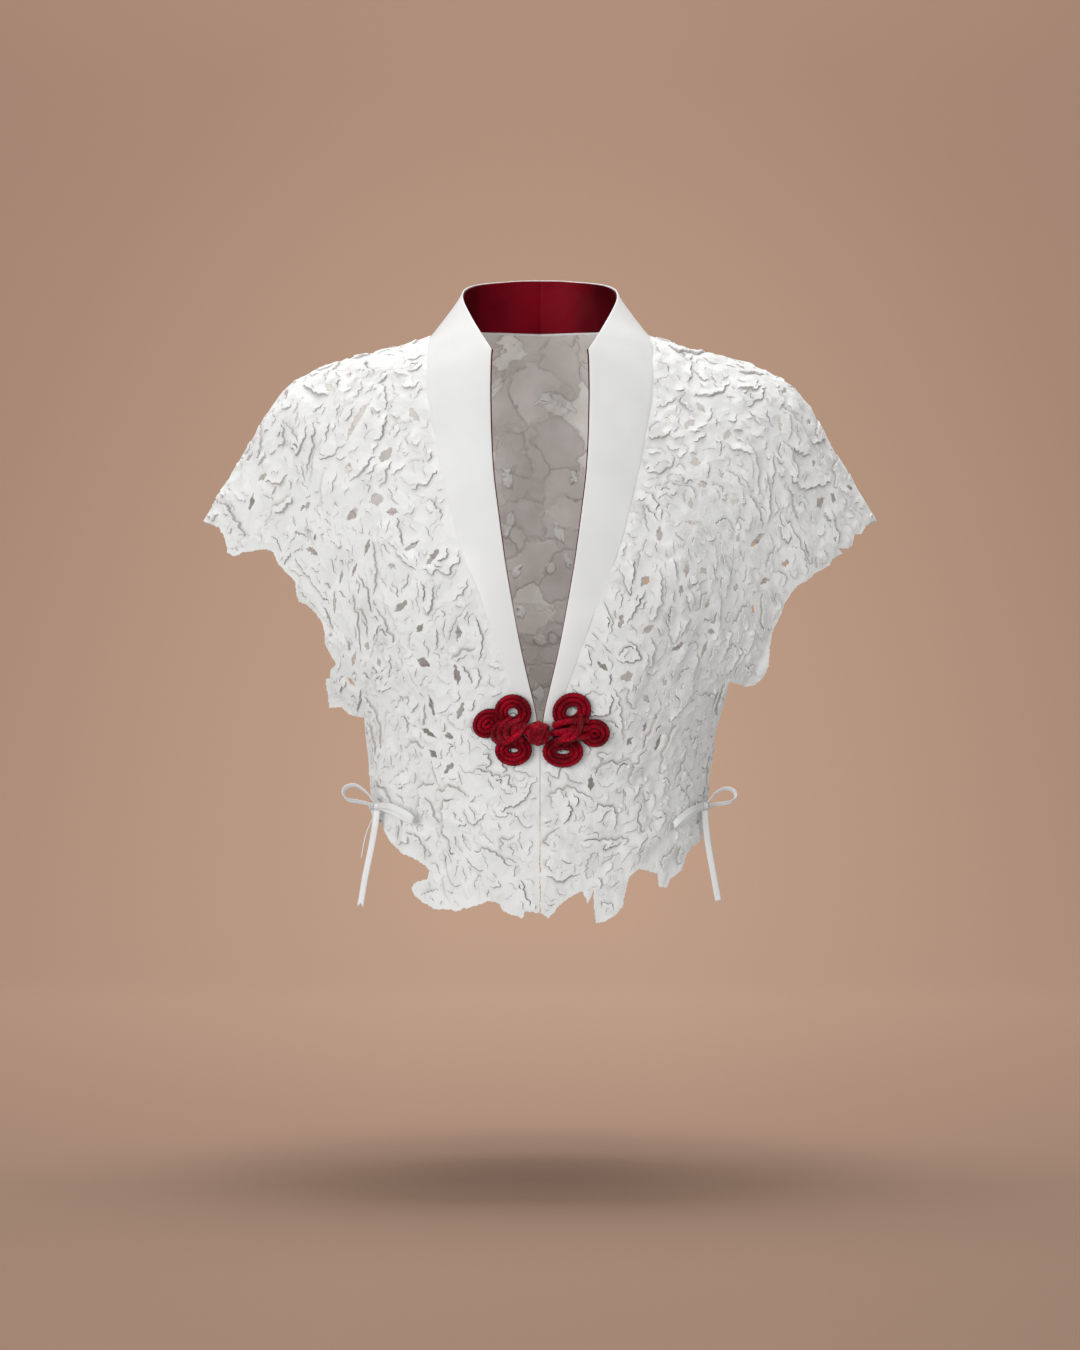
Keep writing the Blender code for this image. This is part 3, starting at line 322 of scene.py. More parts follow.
BACK_HEM_SCALLOPS, BACK_HEM_ACROSS, BACK_HEM_DOWN = 13, 0.93, 0.945
SCALLOP_DEPTH, ARMHOLE_DEPTHS, HEM_DEPTHS = 0.011, 1.6, 2.6  # the latter two as shares of the first
SCALLOP_SHAPE = ((0.0, 0.0), (0.25, 0.8), (0.6, 1.0), (0.9, 0.5))  # along it, and how far cut in
SCALLOP_CUTS, SCALLOP_STRAY = (0.6, 1.2), 0.3  # how their depths and their places vary


def front_outline(side):
    """The edge of a front, as spots on the front face, for the wearer's side on +X."""
    seam = [BAND_CORNER[:2]] + [row[:2] for row in BAND_FRONT]
    neck = [(RIDGE_ACROSS[0], 0.0)] + spots(FRONT, [(x + BAND_GAP, z) for x, z in seam])
    centre = spots(FRONT, [(SEAM, z) for z in (seam[-1][1] - FOOT_GAP, *CENTRE_FRONT)])
    waist = [(1.0, down) for down in SIDE_DOWN[::-1]]
    ridge = [(across, 0.0) for across in RIDGE_ACROSS[:0:-1]]
    return neck + centre + spots(FRONT, HEM[side]) + waist + spots(FRONT, ARMHOLE[side]) + ridge


def scalloped(tips, depth, rng):
    """The tips of a lace edge, with a scallop cut in between each two of them."""
    points = []
    for start, end in zip(np.array(tips), np.array(tips[1:])):
        along = end - start
        away = np.array([-along[1], along[0]]) / np.linalg.norm(along)
        cut = depth * rng.uniform(*SCALLOP_CUTS)
        points += [tuple(start + t * along + away * cut * share) for t, share in SCALLOP_SHAPE]
    return points


def back_outline():
    """The edge of the back, as spots on the back face."""
    rng = np.random.default_rng(5)
    armhole = scalloped(spots(BACK, BACK_ARMHOLE), SCALLOP_DEPTH * ARMHOLE_DEPTHS, rng)
    half = [(across, 0.0) for across in RIDGE_ACROSS] + armhole + [(1.0, down) for down in SIDE_DOWN]
    places = np.linspace(BACK_HEM_ACROSS, -BACK_HEM_ACROSS, BACK_HEM_SCALLOPS + 1)
    stray = rng.uniform(-SCALLOP_STRAY, SCALLOP_STRAY, BACK_HEM_SCALLOPS - 1)
    places[1:-1] += stray * (places[1] - places[0])
    hem = scalloped([(across, BACK_HEM_DOWN) for across in places], SCALLOP_DEPTH * HEM_DEPTHS, rng)
    seam = spots(BACK, [row[:2] for row in BAND_NECK])
    neck = [(across * BACK_NECK_WIDE, down + BACK_NECK_GAP) for across, down in seam]
    right = [(-across, down) for across, down in half[::-1]]
    return half + hem[1:] + right + [(-across, down) for across, down in neck[:0:-1]] + neck


# ---- the lace's gaps ---------------------------------------------------------------------------

# The largest gaps: the middle as x and z on the wearer's own side, length, width, and the lean of
# the length in degrees, up from level as x grows.
GAPS = {
    "front_right": rows("""
        157 -74  50 5.8 -41
        132 -108  18 7 -35
        140 -147  14 12 10
        160 -158  15 9 0
        125.5 -157  12 8 20
        99 -286  13 10 30
        70 -296.5  20 5.5 84
        92.5 -322  20 5.2 80
        77.5 -348  9 6 0
        108 -73  19 6 75
        242 -124  10 6.5 40
        197 -190  16 5.5 70
        16 -438  16 5 88
        62 -440  17 5.2 60
    """, 4, 1),
    "front_left": rows("""
        129 -80  14 7.5 60
        133 -114  13 8 20
        168 -146  13 10 70
        239 -112  9 8 0
        187 -180  26 6 70
        89 -217  13 6 50
        143 -235  12 6.2 80
        194 -215  16 5.5 60
        68.5 -251  12 5.5 80
        91.5 -258  12 7 30
        141 -274  19 6 80
        74 -298  13 10 30
        73 -405  26 5.5 -75
        101 -355  16 5.2 70
    """, 4, 1),
    "back": rows("""
        14 -48  40 18 12
        -40 -33  15 10 35
        -30 -116  24 7.5 -70
        -28 -157  20 7.5 68
        -18 -239  11 5.5 -65
        31 -115  15 6 70
    """, 4, 1),
}
MORE_GAPS = {"front_right": 34, "front_left": 34, "back": 56}  # the smaller ones, where petals meet
MORE_LONG, MORE_WIDE, MORE_LEAN = (0.009, 0.017), (0.0048, 0.0065), (15, 165)
GAP_SHAPE = [(0.50, 0.00), (0.16, 0.50), (-0.22, 0.42), (-0.50, 0.00), (0.02, -0.50)]
CLEAR = 0.0042  # the least lace left between two gaps, or between a gap and the edge
FLAT = np.array([0.25, 0.60])  # metres of cloth for a unit of across and of down, on the whole


def edge_distance(points, loop):
    """The distance from each point to the nearest edge of a closed loop."""
    along = np.roll(loop, -1, axis=0) - loop
    t = np.einsum("nmk,mk->nm", points[:, None] - loop, along)
    near = loop + np.clip(t / np.maximum((along**2).sum(1), 1e-12), 0, 1)[..., None] * along
    return np.linalg.norm(points[:, None] - near, axis=2).min(axis=1)


def inside(points, loop):
    """Whether each point lies inside a closed loop."""
    a, b = loop, np.roll(loop, -1, axis=0)
    x, y = points[:, 0, None], points[:, 1, None]
    crosses = (a[:, 1] > y) != (b[:, 1] > y)
    rise = np.where(b[:, 1] == a[:, 1], 1.0, b[:, 1] - a[:, 1])
    at = a[:, 0] + (y - a[:, 1]) * (b[:, 0] - a[:, 0]) / rise
    return (crosses & (x < at)).sum(axis=1) % 2 == 1


def scattered(places, pitch):
    """The indices of places kept so that no two are nearer than a pitch, by a grid of cells."""
    cells, kept = {}, []
    keys = np.floor(places / pitch).astype(int)
    for i, (key, place) in enumerate(zip(keys.tolist(), places.tolist())):
        near = (
            other
            for dx in (-1, 0, 1) for dy in (-1, 0, 1) for dz in (-1, 0, 1)
            for other in cells.get((key[0] + dx, key[1] + dy, key[2] + dz), ())
        )
        if all(math.dist(place, other) >= pitch for other in near):
            cells.setdefault(tuple(key), []).append(place)
            kept.append(i)
    return kept


def junctions(face, outline, rng):
    """Where petals meet on a panel, widest first: the middles of triangles between their middles."""
    tries = rng.uniform(outline.min(axis=0), outline.max(axis=0), (5000, 2))
    tries = tries[inside(tries, outline) & (edge_distance(tries, outline) > PETAL_PITCH / 4)]
    places = cloth(face, tries[:, 0] / FLAT[0], tries[:, 1] / FLAT[1])
    middles = tries[scattered(places, PETAL_PITCH)]
    faces = delaunay_2d_cdt([Vector(p) for p in middles], [], [], 0, 1e-9)[2]
    corners = middles[np.array(faces)]
    size = np.linalg.norm(corners - np.roll(corners, 1, axis=1), axis=2).sum(axis=1)
    return corners.mean(axis=1)[np.argsort(-np.where(size < 5 * PETAL_PITCH, size, 0))]


def gap_loop(face, across, down, length, width, lean):
    """A gap's edge, flattened. Lean is measured on the cloth, up from the level way outwards."""
    by_across, by_down = metric(face, across, down)
    turn = math.radians(lean)
    shape = np.array(GAP_SHAPE) * (length, width)
    level = shape[:, 0] * math.cos(turn) - shape[:, 1] * math.sin(turn)
    fall = -shape[:, 0] * math.sin(turn) - shape[:, 1] * math.cos(turn)
    return np.stack([across + level / by_across, down + fall / by_down], axis=1) * FLAT


def gap_loops(name, face, outline, rng):
    """The edges of a panel's gaps: the named ones, then others at the widest junctions of petals."""
    places = junctions(face, outline, rng) / FLAT
    loops = [gap_loop(face, *spot(face, x, z), *shape) for x, z, *shape in GAPS[name]]
    if name == "front_left":
        loops.append(np.array(spots(face, HEM_HOLE)) * FLAT)
    most = len(loops) + MORE_GAPS[name]
    for across, down in places:
        if len(loops) == most:
            break
        size = rng.uniform(*MORE_LONG), rng.uniform(*MORE_WIDE)
        loop = gap_loop(face, across, down, *size, rng.uniform(*MORE_LEAN))
        clear = edge_distance(loop, outline).min() > CLEAR and inside(loop, outline).all()
        if clear and all(edge_distance(loop, other).min() > CLEAR for other in loops):
            loops.append(loop)
    return loops


# ---- the collar's stations ---------------------------------------------------------------------

BAND_COLUMNS = (0.0, 0.25, 0.5, 0.75, 1.0)  # across the band, from the seam to the rim
BAND_BULGE = 0.04  # the band's crown above a straight line across it, as a share of its width
LINING_DROP = 0.0006  # how far the lining stops below the standing rim
LINING_SHOW = 0.0008  # how far it is rolled out past the free edge of the fronts
LINING_SEAM = 0.0015  # how far it stops short of the lace
CENTRE_BACK_GAP = 0.00004  # from the centre to each half
FOOT_GAP = 0.0020  # between the band's foot and the lace of the fronts below it
CORNER_NECK = 0.6  # how far the band still stands at the corner, between 1 on the neck and 0


def band_stations():
    """The band's sections from the centre back to the foot: seam point, rim point, on the neck."""
    stations = [(on_face(BACK, *row[:2]), np.array(row[2:]), 1.0) for row in BAND_NECK]
    stations.append((*np.array(BAND_SHOULDER), 1.0))
    stations.append((on_face(FRONT, *BAND_CORNER[:2]), np.array(BAND_CORNER[2:]), CORNER_NECK))
    return stations + [(on_face(FRONT, *row[:2]), on_face(FRONT, *row[2:]), 0.0) for row in BAND_FRONT]


def band_sheet(lining):
    """The points of the band's inner surface, or of the lining's outer one, row by row."""
    seams, rims, neck = (np.array(part) for part in zip(*band_stations()))
    out = unit(np.cross(rims - seams, np.gradient((seams + rims) / 2, axis=0)))
    width = np.linalg.norm(rims - seams, axis=1, keepdims=True)
    start, stop = np.zeros_like(width), np.ones_like(width)
    if lining:
        start = start + LINING_SEAM / width
        show = LINING_SHOW * (1 - neck) - LINING_DROP * neck
        stop = stop + np.minimum(show, rims[:, 0] - SEAM)[:, None] / width
    sheet = []
    for share in BAND_COLUMNS:
        t = start + (stop - start) * share
        sheet.append(seams + (rims - seams) * t + out * width * BAND_BULGE * 4 * t * (1 - t))
    sheet = np.stack(sheet, axis=1)
    if lining:
        normal = unit(np.cross(np.gradient(sheet, axis=1), np.gradient(sheet, axis=0)))
        sheet = sheet - normal * 2 * SEAM
    return sheet


# ---- the fastenings' places --------------------------------------------------------------------

PETALS_TOP = LACE_WALL + PETAL_RISE
FROG_LIFT = PETALS_TOP + 0.0004  # the loops' underside above the cloth's inner surface
BUTTON_AT, BUTTON_DEPTH = (-0.0016, -0.3460), 0.0078  # its middle as x and z, and half its depth
FRONT_TOP = PETALS_TOP + SEAM  # just clear of the petals
# Each tie's knot as (x, z) on the front, the way that a ribbon's width lies, and the ribbons'
# routes on the wearer's own side: steps from the knot in x, y and z, or for the inner loop, which
# lies along the front, a step in x, the height above the cloth, and a step in z.
TIE_KNOT = {RIGHT: (0.1345, -0.4105), LEFT: (0.1365, -0.4105)}
TIE_WAYS = {
    "loop_outer": (0.25, -0.75, 0.60),
    "loop_inner": (0.0, 0.25, 0.95),
    "tail_front": (1.0, 0.15, 0.0),
    "tail_back": (0.15, 1.0, 0.0),
}
TIE_ROUTES = {
    RIGHT: {
        "loop_outer": rows("""
            3 -1 3  10 -3 12  19 -4 18  27 -4 16.5  29.5 -2 11
            26 1 5.5  17 3 3.5  9 3 1.8  4.5 1 0.5
        """, 3),
        "loop_inner": rows("""
            -4.5 10.5 1  -12 12.5 0  -20 13 -3.5  -27.5 12 -8.5  -30.5 9.5 -12.5
            -27 7.2 -12  -19 6.8 -8.5  -11 7.2 -4  -4.5 8 -0.8
        """, 3),
        "tail_front": rows("0.4 -1.6 -3.8  2 -2 -16  5.5 0 -36  10.5 1 -60  15 1 -86.5", 3),
        "tail_back": rows("0.5 1.9 -3.8  5 7 -12  11 10 -26  15 10 -46", 3),
    },
    LEFT: {
        "loop_outer": rows("""
            3 -1 3  9 -3 10.5  17 -4 15  24 -4 14  26.5 -2 9
            23 1 3.5  15 3 1.5  9 3 1  4.5 1 0.5
        """, 3),
        "loop_inner": rows("""
            -4.5 10.5 0  -11 12.5 -1.5  -18 13 -5.5  -24.5 12 -11.5  -27 9.5 -15.5
            -23 7.2 -15.5  -16 6.8 -11  -10 7.2 -5  -4.5 8 -0.8
        """, 3),
        "tail_front": rows("0.2 -1.6 -3.8  1 -2 -16  3.5 0 -36  7.5 1 -58  12 1 -83", 3),
        "tail_back": rows("0.4 1.9 -3.8  2.6 8 -14  6 11 -30  8.5 12 -50", 3),
    },
}
KNOT_RADIUS = (0.0036, 0.0030, 0.0032)
LACING_BACK = 0.026  # how far the ribbon runs onto the back panel, towards the centre


def curve_at(a, b, c, d, t):
    """The place at t between b and c on a Catmull-Rom curve."""
    curve = 2 * b + (c - a) * t + (2 * a - 5 * b + 4 * c - d) * t**2
    return (curve + (3 * b - a - 3 * c + d) * t**3) / 2


def lengthened(points):
    """Points with one more beyond each end."""
    return np.concatenate([2 * points[:1] - points[1:2], points, 2 * points[-1:] - points[-2:-1]])


def smooth_route(points, step):
    """Points about a step apart on a Catmull-Rom curve through the given ones."""
    points = np.array(points, float)
    ends = lengthened(points)
    route = [points[0]]
    for a, b, c, d in zip(ends, ends[1:], ends[2:], ends[3:]):
        count = max(1, round(float(np.linalg.norm(c - b)) / step))
        route += [curve_at(a, b, c, d, t) for t in np.linspace(0, 1, count + 1)[1:]]
    return np.array(route)


def on_knot(knot, point):
    """The point just clear of the knot's surface on the way to another."""
    way = (point - knot) / np.linalg.norm(point - knot)
    return knot + way * (1 / np.linalg.norm(way / KNOT_RADIUS) + SEAM)


# ---- materials ---------------------------------------------------------------------------------

FOOT_SHADE = 0.45  # how much of the cracks' tone is painted at the foot of a lip, as painted shade under it
GROUND_LEAVES = 27.0
GROUND_TONES = ((0.10, 0.90), (0.50, 0.98), (0.78, 1.06), (0.88, 1.30))  # leaf by leaf
GROUND_MOST = 0.92  # no leaf is brighter
CORD_TURN = 3.0  # radians round a strand for each unit of its second coordinate
CORD_ALONG = 200  # and units of its first coordinate for each metre along it
TURN = 6.28  # about a whole turn, in radians


def toned(tint, share, most=1.0):
    """A colour made darker or brighter."""
    return tuple(min(most, c * share) for c in tint)


class Nodes:
    """A short way to write a procedural material."""

    def __init__(self, name, tint, roughness, specular, more=()):
        self.made = bpy.data.materials.new(name)
        self.made.use_nodes = True
        self.tree = self.made.node_tree
        self.shader = self.tree.nodes["Principled BSDF"]
        looks = {"Base Color": (*tint, 1), "Roughness": roughness, "Specular IOR Level": specular}
        self.fill(self.shader, {**looks, **dict(more)})
        coordinates = self.add("TexCoord")
        self.place, self.uv = coordinates["Object"], coordinates["UV"]

    def fill(self, node, values):
        """Sets a node's settings and inputs, or links an input to another node's output."""
        for key, value in values.items():
            if isinstance(key, str) and key not in node.inputs:
                setattr(node, key, value)
            elif isinstance(value, bpy.types.NodeSocket):
                self.tree.links.new(value, node.inputs[key])
            else:
                node.inputs[key].default_value = value
        return node.outputs

    def add(self, kind, *inputs, **values):
        """The outputs of a new node with its first inputs, and others by name."""
        node = self.tree.nodes.new("ShaderNode" + kind)
        return self.fill(node, {**values, **dict(enumerate(inputs))})

    def noise(self, scale, detail=2.0, roughness=0.5, at=None, output="Fac"):
        """Noise over the place, or over other coordinates."""
        at = self.place if at is None else at
        return self.add("TexNoise", at, Scale=scale, Detail=detail, Roughness=roughness)[output]

    def pushed(self, noise, amount):
        """The place pushed about by a noise."""
        step = self.add("VectorMath", noise, operation="SCALE", Scale=amount)[0]
        return self.add("VectorMath", self.place, step, operation="ADD")[0]

    def bumps(self, *layers):
        """The normal after bumps laid over each other: each a height, its distance and strength."""
        under = {}
        for height, distance, strength in layers:
            normal = self.add("Bump", Height=height, Distance=distance, Strength=strength, **under)
            under = {"Normal": normal[0]}
        return normal[0]

    def ramp(self, fac, *stops):
        """A colour ramp from (place, tone) stops. A tone is a colour, or one number for a grey."""
        colour = self.add("ValToRGB", fac)[0]
        ramp = colour.node.color_ramp
        while len(ramp.elements) < len(stops):
            ramp.elements.new(0.5)
        for element, (place, tone) in zip(ramp.elements, stops):
            element.position = place
            element.color = (*(tone if isinstance(tone, tuple) else (tone,) * 3), 1)
        return colour

    def mixed(self, colour, other, share, blend="MULTIPLY"):
        """A colour with a share of another laid over it."""
        values = {"data_type": "RGBA", "blend_type": blend, 0: share, 6: colour, 7: other}
        return self.fill(self.tree.nodes.new("ShaderNodeMix"), values)[2]

    def finish(self, colour, normal):
        """The material, once its colour and its normal are linked."""
        self.fill(self.shader, {"Base Color": colour, "Normal": normal})
        return self.made


def lace_material(name, tint, shade):
    """Heavy white lace: matt thread, soft creases, and painted shade in its cracks and at the foot of a
    lip.
    """
    m = Nodes(name, tint, 0.80, 0.28, {"Sheen Weight": 0.10, "Sheen Roughness": 0.5})
    moved = m.pushed(m.noise(60.0, 3.0, output="Color"), 0.016)
    plates = m.add("TexVoronoi", moved, feature="F1", Scale=78.0)
    creases = m.add("TexWave", moved, 24.0, 9.0, 3.0, bands_direction="X")["Fac"]
    normal = m.bumps(
        (plates["Distance"], 0.0022, 0.44),
        (m.noise(110.0, 4.0, 0.6), 0.0020, 0.45),
        (creases, 0.0005, 0.35),
        (m.noise(900.0, 3.0, 0.7), 0.00025, 0.45),
    )
    plate = m.add("SeparateColor", plates["Color"])[0]
    colour = m.ramp(plate, (0.1, toned(tint, 0.93)), (0.8, tint))
    depths = m.add("SeparateXYZ", m.uv)
    # painted shade at the foot of a lip, on its low side
    foot = m.ramp(depths["X"], (0.05, 0), (0.9, FOOT_SHADE))
    # painted shade in a crack, darkest along its middle
    groove = m.ramp(depths["Y"], (0.08, 0), (0.45, 1))
    for mask in (foot, groove):
        colour = m.mixed(colour, (*shade, 1), mask, "MIX")
    return m.finish(colour, normal)


def ground_material(name, tint):
    """The lace's inner side: flat, with the outlines of the leaves worked into it."""
    m = Nodes(name, tint, 0.88, 0.25, {"Sheen Weight": 0.1})
    moved = m.pushed(m.noise(30.0, 5.0, output="Color"), 0.055)
    edge = m.add("TexVoronoi", moved, feature="DISTANCE_TO_EDGE", Scale=GROUND_LEAVES)["Distance"]
    leaf = m.add("TexVoronoi", moved, feature="F1", Scale=GROUND_LEAVES)["Color"]
    ridges = m.ramp(edge, (0.0, 0), (0.10, 1))
    normal = m.bumps((ridges, 0.0012, 0.7), (m.noise(500.0, 3.0), 0.0003, 0.5))
    tones = [(stop, toned(tint, tone, GROUND_MOST)) for stop, tone in GROUND_TONES]
    colour = m.ramp(m.add("SeparateColor", leaf)[0], *tones)
    outline = m.ramp(edge, (0.0, (0.66, 0.64, 0.63)), (0.045, 1))
    patchy = m.ramp(m.noise(38.0), (0.46, 0.12), (0.62, 1))
    cloud = m.ramp(m.noise(26.0, 4.0), (0.35, (0.80, 0.775, 0.755)), (0.62, 1))
    return m.finish(m.mixed(m.mixed(colour, outline, patchy), cloud, cloud), normal)


def satin_material(name, tint, grain=2400.0, roughness=0.34, fold=0.0009, shine=0.35, ends=1.0):
    """Satin: a fine warp, a soft sheen along it, slow unevenness, and, when ends is below 1, painted
    shade that deepens its tone towards its ends, where the band turns away.
    """
    m = Nodes(name, tint, roughness, shine, {
        "Sheen Weight": 0.15,
        "Sheen Roughness": 0.35,
        "Sheen Tint": (*toned(tint, 1.3), 1),
        "Anisotropic": 0.4,
    })
    warp = m.add("TexWave", m.place, grain / TURN, 1.5, 1.0, bands_direction="X")["Fac"]
    normal = m.bumps((m.noise(26.0), fold, 0.6), (warp, 0.00005, 0.25))
    colour = m.ramp(m.noise(18.0), (0.35, toned(tint, 0.6 * ends + 0.34)), (0.65, tint))
    # painted shade towards the band's ends, where it turns away from the light
    if ends < 1:
        x = m.add("SeparateXYZ", m.pushed(m.noise(30.0), 0.02))["X"]
        aside = m.add("Math", x, operation="ABSOLUTE")[0]
        colour = m.mixed(colour, m.ramp(aside, (0.034, 1), (0.060, ends)), 1.0)
    return m.finish(colour, normal)


def cord_material(name, tint):
    """Crimson satin cord: lustrous threads laid round each strand, painted shade between the threads
    and on the strands' sides, and a random mottle whose brightest stop adds painted highlights.
    """
    m = Nodes(name, tint, 0.36, 0.17, {
        "Sheen Weight": 0.03,
        "Sheen Roughness": 0.4,
        "Sheen Tint": (0.8, 0.06, 0.10, 1),
    })
    threads = m.add("TexWave", m.uv, 7.0, 1.2, 1.0, bands_direction="DIAGONAL")["Fac"]
    normal = m.bumps((threads, 0.00045, 0.7), (m.noise(1500.0), 0.00015, 0.5))
    mottle = m.noise(5.0, 3.0, at=m.uv)
    # a random mottle in tone; its brightest stop is also a painted highlight
    colour = m.ramp(mottle, (0.32, toned(tint, 0.36)), (0.5, tint), (0.70, toned(tint, 2.6)))
    turn = m.add("Math", m.add("SeparateXYZ", m.uv)["Y"], CORD_TURN, operation="MULTIPLY")[0]
    facing = m.add("Math", turn, operation="COSINE")[0]
    for mask, share in (
        # painted shade in the grooves between the threads
        (m.ramp(threads, (0.0, 0.35), (0.45, 1)), 0.8),
        # painted shade on the sides of each strand that face its neighbours and the cloth
        (m.ramp(facing, (0.35, 0.10), (0.86, 1)), 1.0),
        (m.ramp(m.noise(85.0, 1.0), (0.40, 0.50), (0.62, 1)), 1.0),  # deeper in places
    ):
        colour = m.mixed(colour, mask, share)
    return m.finish(colour, normal)


# ---- meshes ------------------------------------------------------------------------------------


def placed(name, data, place=(0, 0, 0)):
    """A new object of the scene."""
    made = bpy.data.objects.new(name, data)
    bpy.context.scene.collection.objects.link(made)
    made.location = place
    return made


def add_mesh(name, points, faces, material, uv=None):
    """A smooth mesh object. uv holds a pair for each point."""
    mesh = bpy.data.meshes.new(name)
    mesh.from_pydata(np.asarray(points).tolist(), [], [[int(i) for i in face] for face in faces])
    mesh.shade_smooth()
    if uv is not None:
        layer = mesh.uv_layers.new(name="UVMap")
        corners = np.empty(len(mesh.loops), np.int32)
        mesh.loops.foreach_get("vertex_index", corners)
        layer.data.foreach_set("uv", np.asarray(uv, np.float32)[corners].ravel())
    mesh.materials.append(material)
    return placed(name, mesh)


def joined(name, parts, material):
    """One object from several meshes, each as points, faces and a uv pair for each point."""
    points, lists, uv = zip(*parts)
    starts = np.cumsum([0] + [len(some) for some in points])
    faces = [[i + start for i in face] for some, start in zip(lists, starts) for face in some]
    return add_mesh(name, np.concatenate(points), faces, material, np.concatenate(uv))


def quads(down, across, around=False, along=False):
    """Faces over a grid of points held row by row, which may close round its rows or columns."""
    row, column = np.arange(down - (not along))[:, None], np.arange(across - (not around))
    beside, below = (column + 1) % across, (row + 1) % down * across
    corners = row * across + column, row * across + beside, below + beside, below + column
    return np.stack(np.broadcast_arrays(*corners), axis=2).reshape(-1, 4)


def thicken(piece, thickness, offset):
    """Makes a sheet a closed wall."""
    wall = piece.modifiers.new("Wall", "SOLIDIFY")
    wall.thickness = thickness
    wall.offset = offset


def square_to(along, way):
    """The way nearest to a given one that is square to each direction."""
    way = np.broadcast_to(np.array(way, float), along.shape)
    return unit(way - (way * along).sum(axis=1, keepdims=True) * along)


def keep(piece, node=None):
    """Hides the solid that a piece stands for, if one is named. Every piece rides with the root."""
    if node:
        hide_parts(node)
    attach(piece, "root")


# ---- the lace ----------------------------------------------------------------------------------

OUTER_PITCH = {FRONT: 0.0025, BACK: 0.0034}  # between the points of the outer skin
INNER_PITCH = {FRONT: 0.0062, BACK: 0.0074}
ROW_PITCH, NET_STRAY = 0.87, 0.16  # between the net's rows, and how far its points stray, in pitches
RIM_PITCH, RIM_ROUNDS = 0.0046, 2
RAG, GAP_RAG = 0.20, 0.33  # how ragged a rim and a gap are, as a share of their edges' length
FREE_DOWN, FREE_ACROSS, FREE_RIDGE = 0.86, 0.80, 0.03  # a panel is ragged past these
LACE_BASE = 0.0011  # the wall's outer side above its inner side, where nothing is raised
CRACK_FLOOR = 0.0007  # how far a crack goes below that
LIFT_MOST, LIFT_LEAST = 0.0046, -0.0003
PRESSED = 0.0026  # the most it rises under the frog and the ribbons
FROG_HALF = (0.078, 0.042)  # half the frog's width and height, with a little round it
BOW_IN, BOW_HALF, BOW_BELOW = 0.045, 0.014, 0.004  # the same for a bow, from its knot
RIM_TAPER = (0.0030, 0.25)  # the relief fades this near a cut edge, to this share
CRACK_STEP = 0.0013  # about how far apart the points of a crack are
FRAY_ROUNDS, FRAY = 2, 0.30  # how torn a crack is, as a share of its edges' length
CRACK_CLEAR, GAP_CLEAR = 0.0017, 0.0022  # a crack ends this near to another, and to a cut edge
CRACK_POINTS = 5  # a crack with fewer points is left out
CRACK_ENDS, CRACK_VARIES = 0.55, (0.55, 1.15)  # how it narrows to its ends and varies along them
RAG_SHRINK = 0.85  # a rim that crosses itself is torn again, less ragged by this
NEAR = 0.05  # cracks are compared with those this near, measured across
ARC_STRAY, TURN_STRAY, LEAN_STRAY = 0.14, 25, 20  # of a petal's size, and of its angles in degrees
TURNS = (0, 90, -90)  # which part of a petal's edge shows, in degrees from its length
FLOW_LEAST = 0.35  # a flow leads the petals where its weight is more than this
# The edges of the petals that show, in the order they are laid: least distance between petals,
# half length, half width, half of the arc in degrees, width of the crack, and rise of its lip.
EDGES = (
    (0.0200, (0.015, 0.027), (0.010, 0.016), (42, 92), (0.0011, 0.0029), (0.0012, 0.0028)),
    (0.0130, (0.008, 0.014), (0.006, 0.010), (35, 75), (0.0008, 0.0016), (0.0007, 0.0018)),
    (0.0076, (0.006, 0.012), (0.004, 0.008), (35, 80), (0.0004, 0.0007), (0.0005, 0.0015)),
)
# Petals laid before those, as they are worn: middle as x and z, half sizes, width of the crack,
# rise of its lip, then the lean and the stretch of the edge that shows, in degrees.
SHOWN = {
    "front_right": rows("""
        72.9 -412.7 20.4 20 1.7 2.6  0 -50 165
        57.7 -402.5 36 25 1.4 2  -8 12 150
        156 -125 23 18 1.6 2.2  10 40 175
        87 -189 24 17 1.6 2.2  -70 -70 75
    """, 6, 3),
    "front_left": rows("""
        112 -150 22 19 1.8 2.6  0 -30 150
        98 -376 23 18 1.6 2.4  20 20 190
        48 -430 24 16 1.6 2.2  60 -80 70
    """, 6, 3),
}
LIP_REACH, FOOT_REACH, FOOT_DROP = 0.0065, 0.0045, 0.30
THIN = 0.0010  # a crack narrower than this is also less deep
SHADE_REACH, SHADE_RISE = 0.0015, 0.002  # the painted shade at a lip's foot, where its shadow would fall, full past this rise
RELIEF_REACH = 0.020  # a crack raises nothing further than this, in flat units
WAVES, WAVE_LENGTH, WAVE_HEIGHT = 26, (0.013, 0.045), 0.00011
SHARP = math.radians(38)  # edges of the lace turned more than this are crisp

LEAF_PAST, LEAF_GAP, LEAF_THICK = 0.0022, 0.0003, 0.0005  # past the gap, off the wall, thickness
LEAF_RINGS = (1.0, 0.7, 0.35)  # its rings of points, as shares of the way to its edge
LEAF_ASIDE = 0.075  # leaves lie behind the back's gaps nearer its middle than this
LEAF_BELOW = -0.395  # and behind the fronts' gaps below this, where no back lies behind
HOLE_POINTS = 70  # the hole at the hem has more points than this round it, and stays open

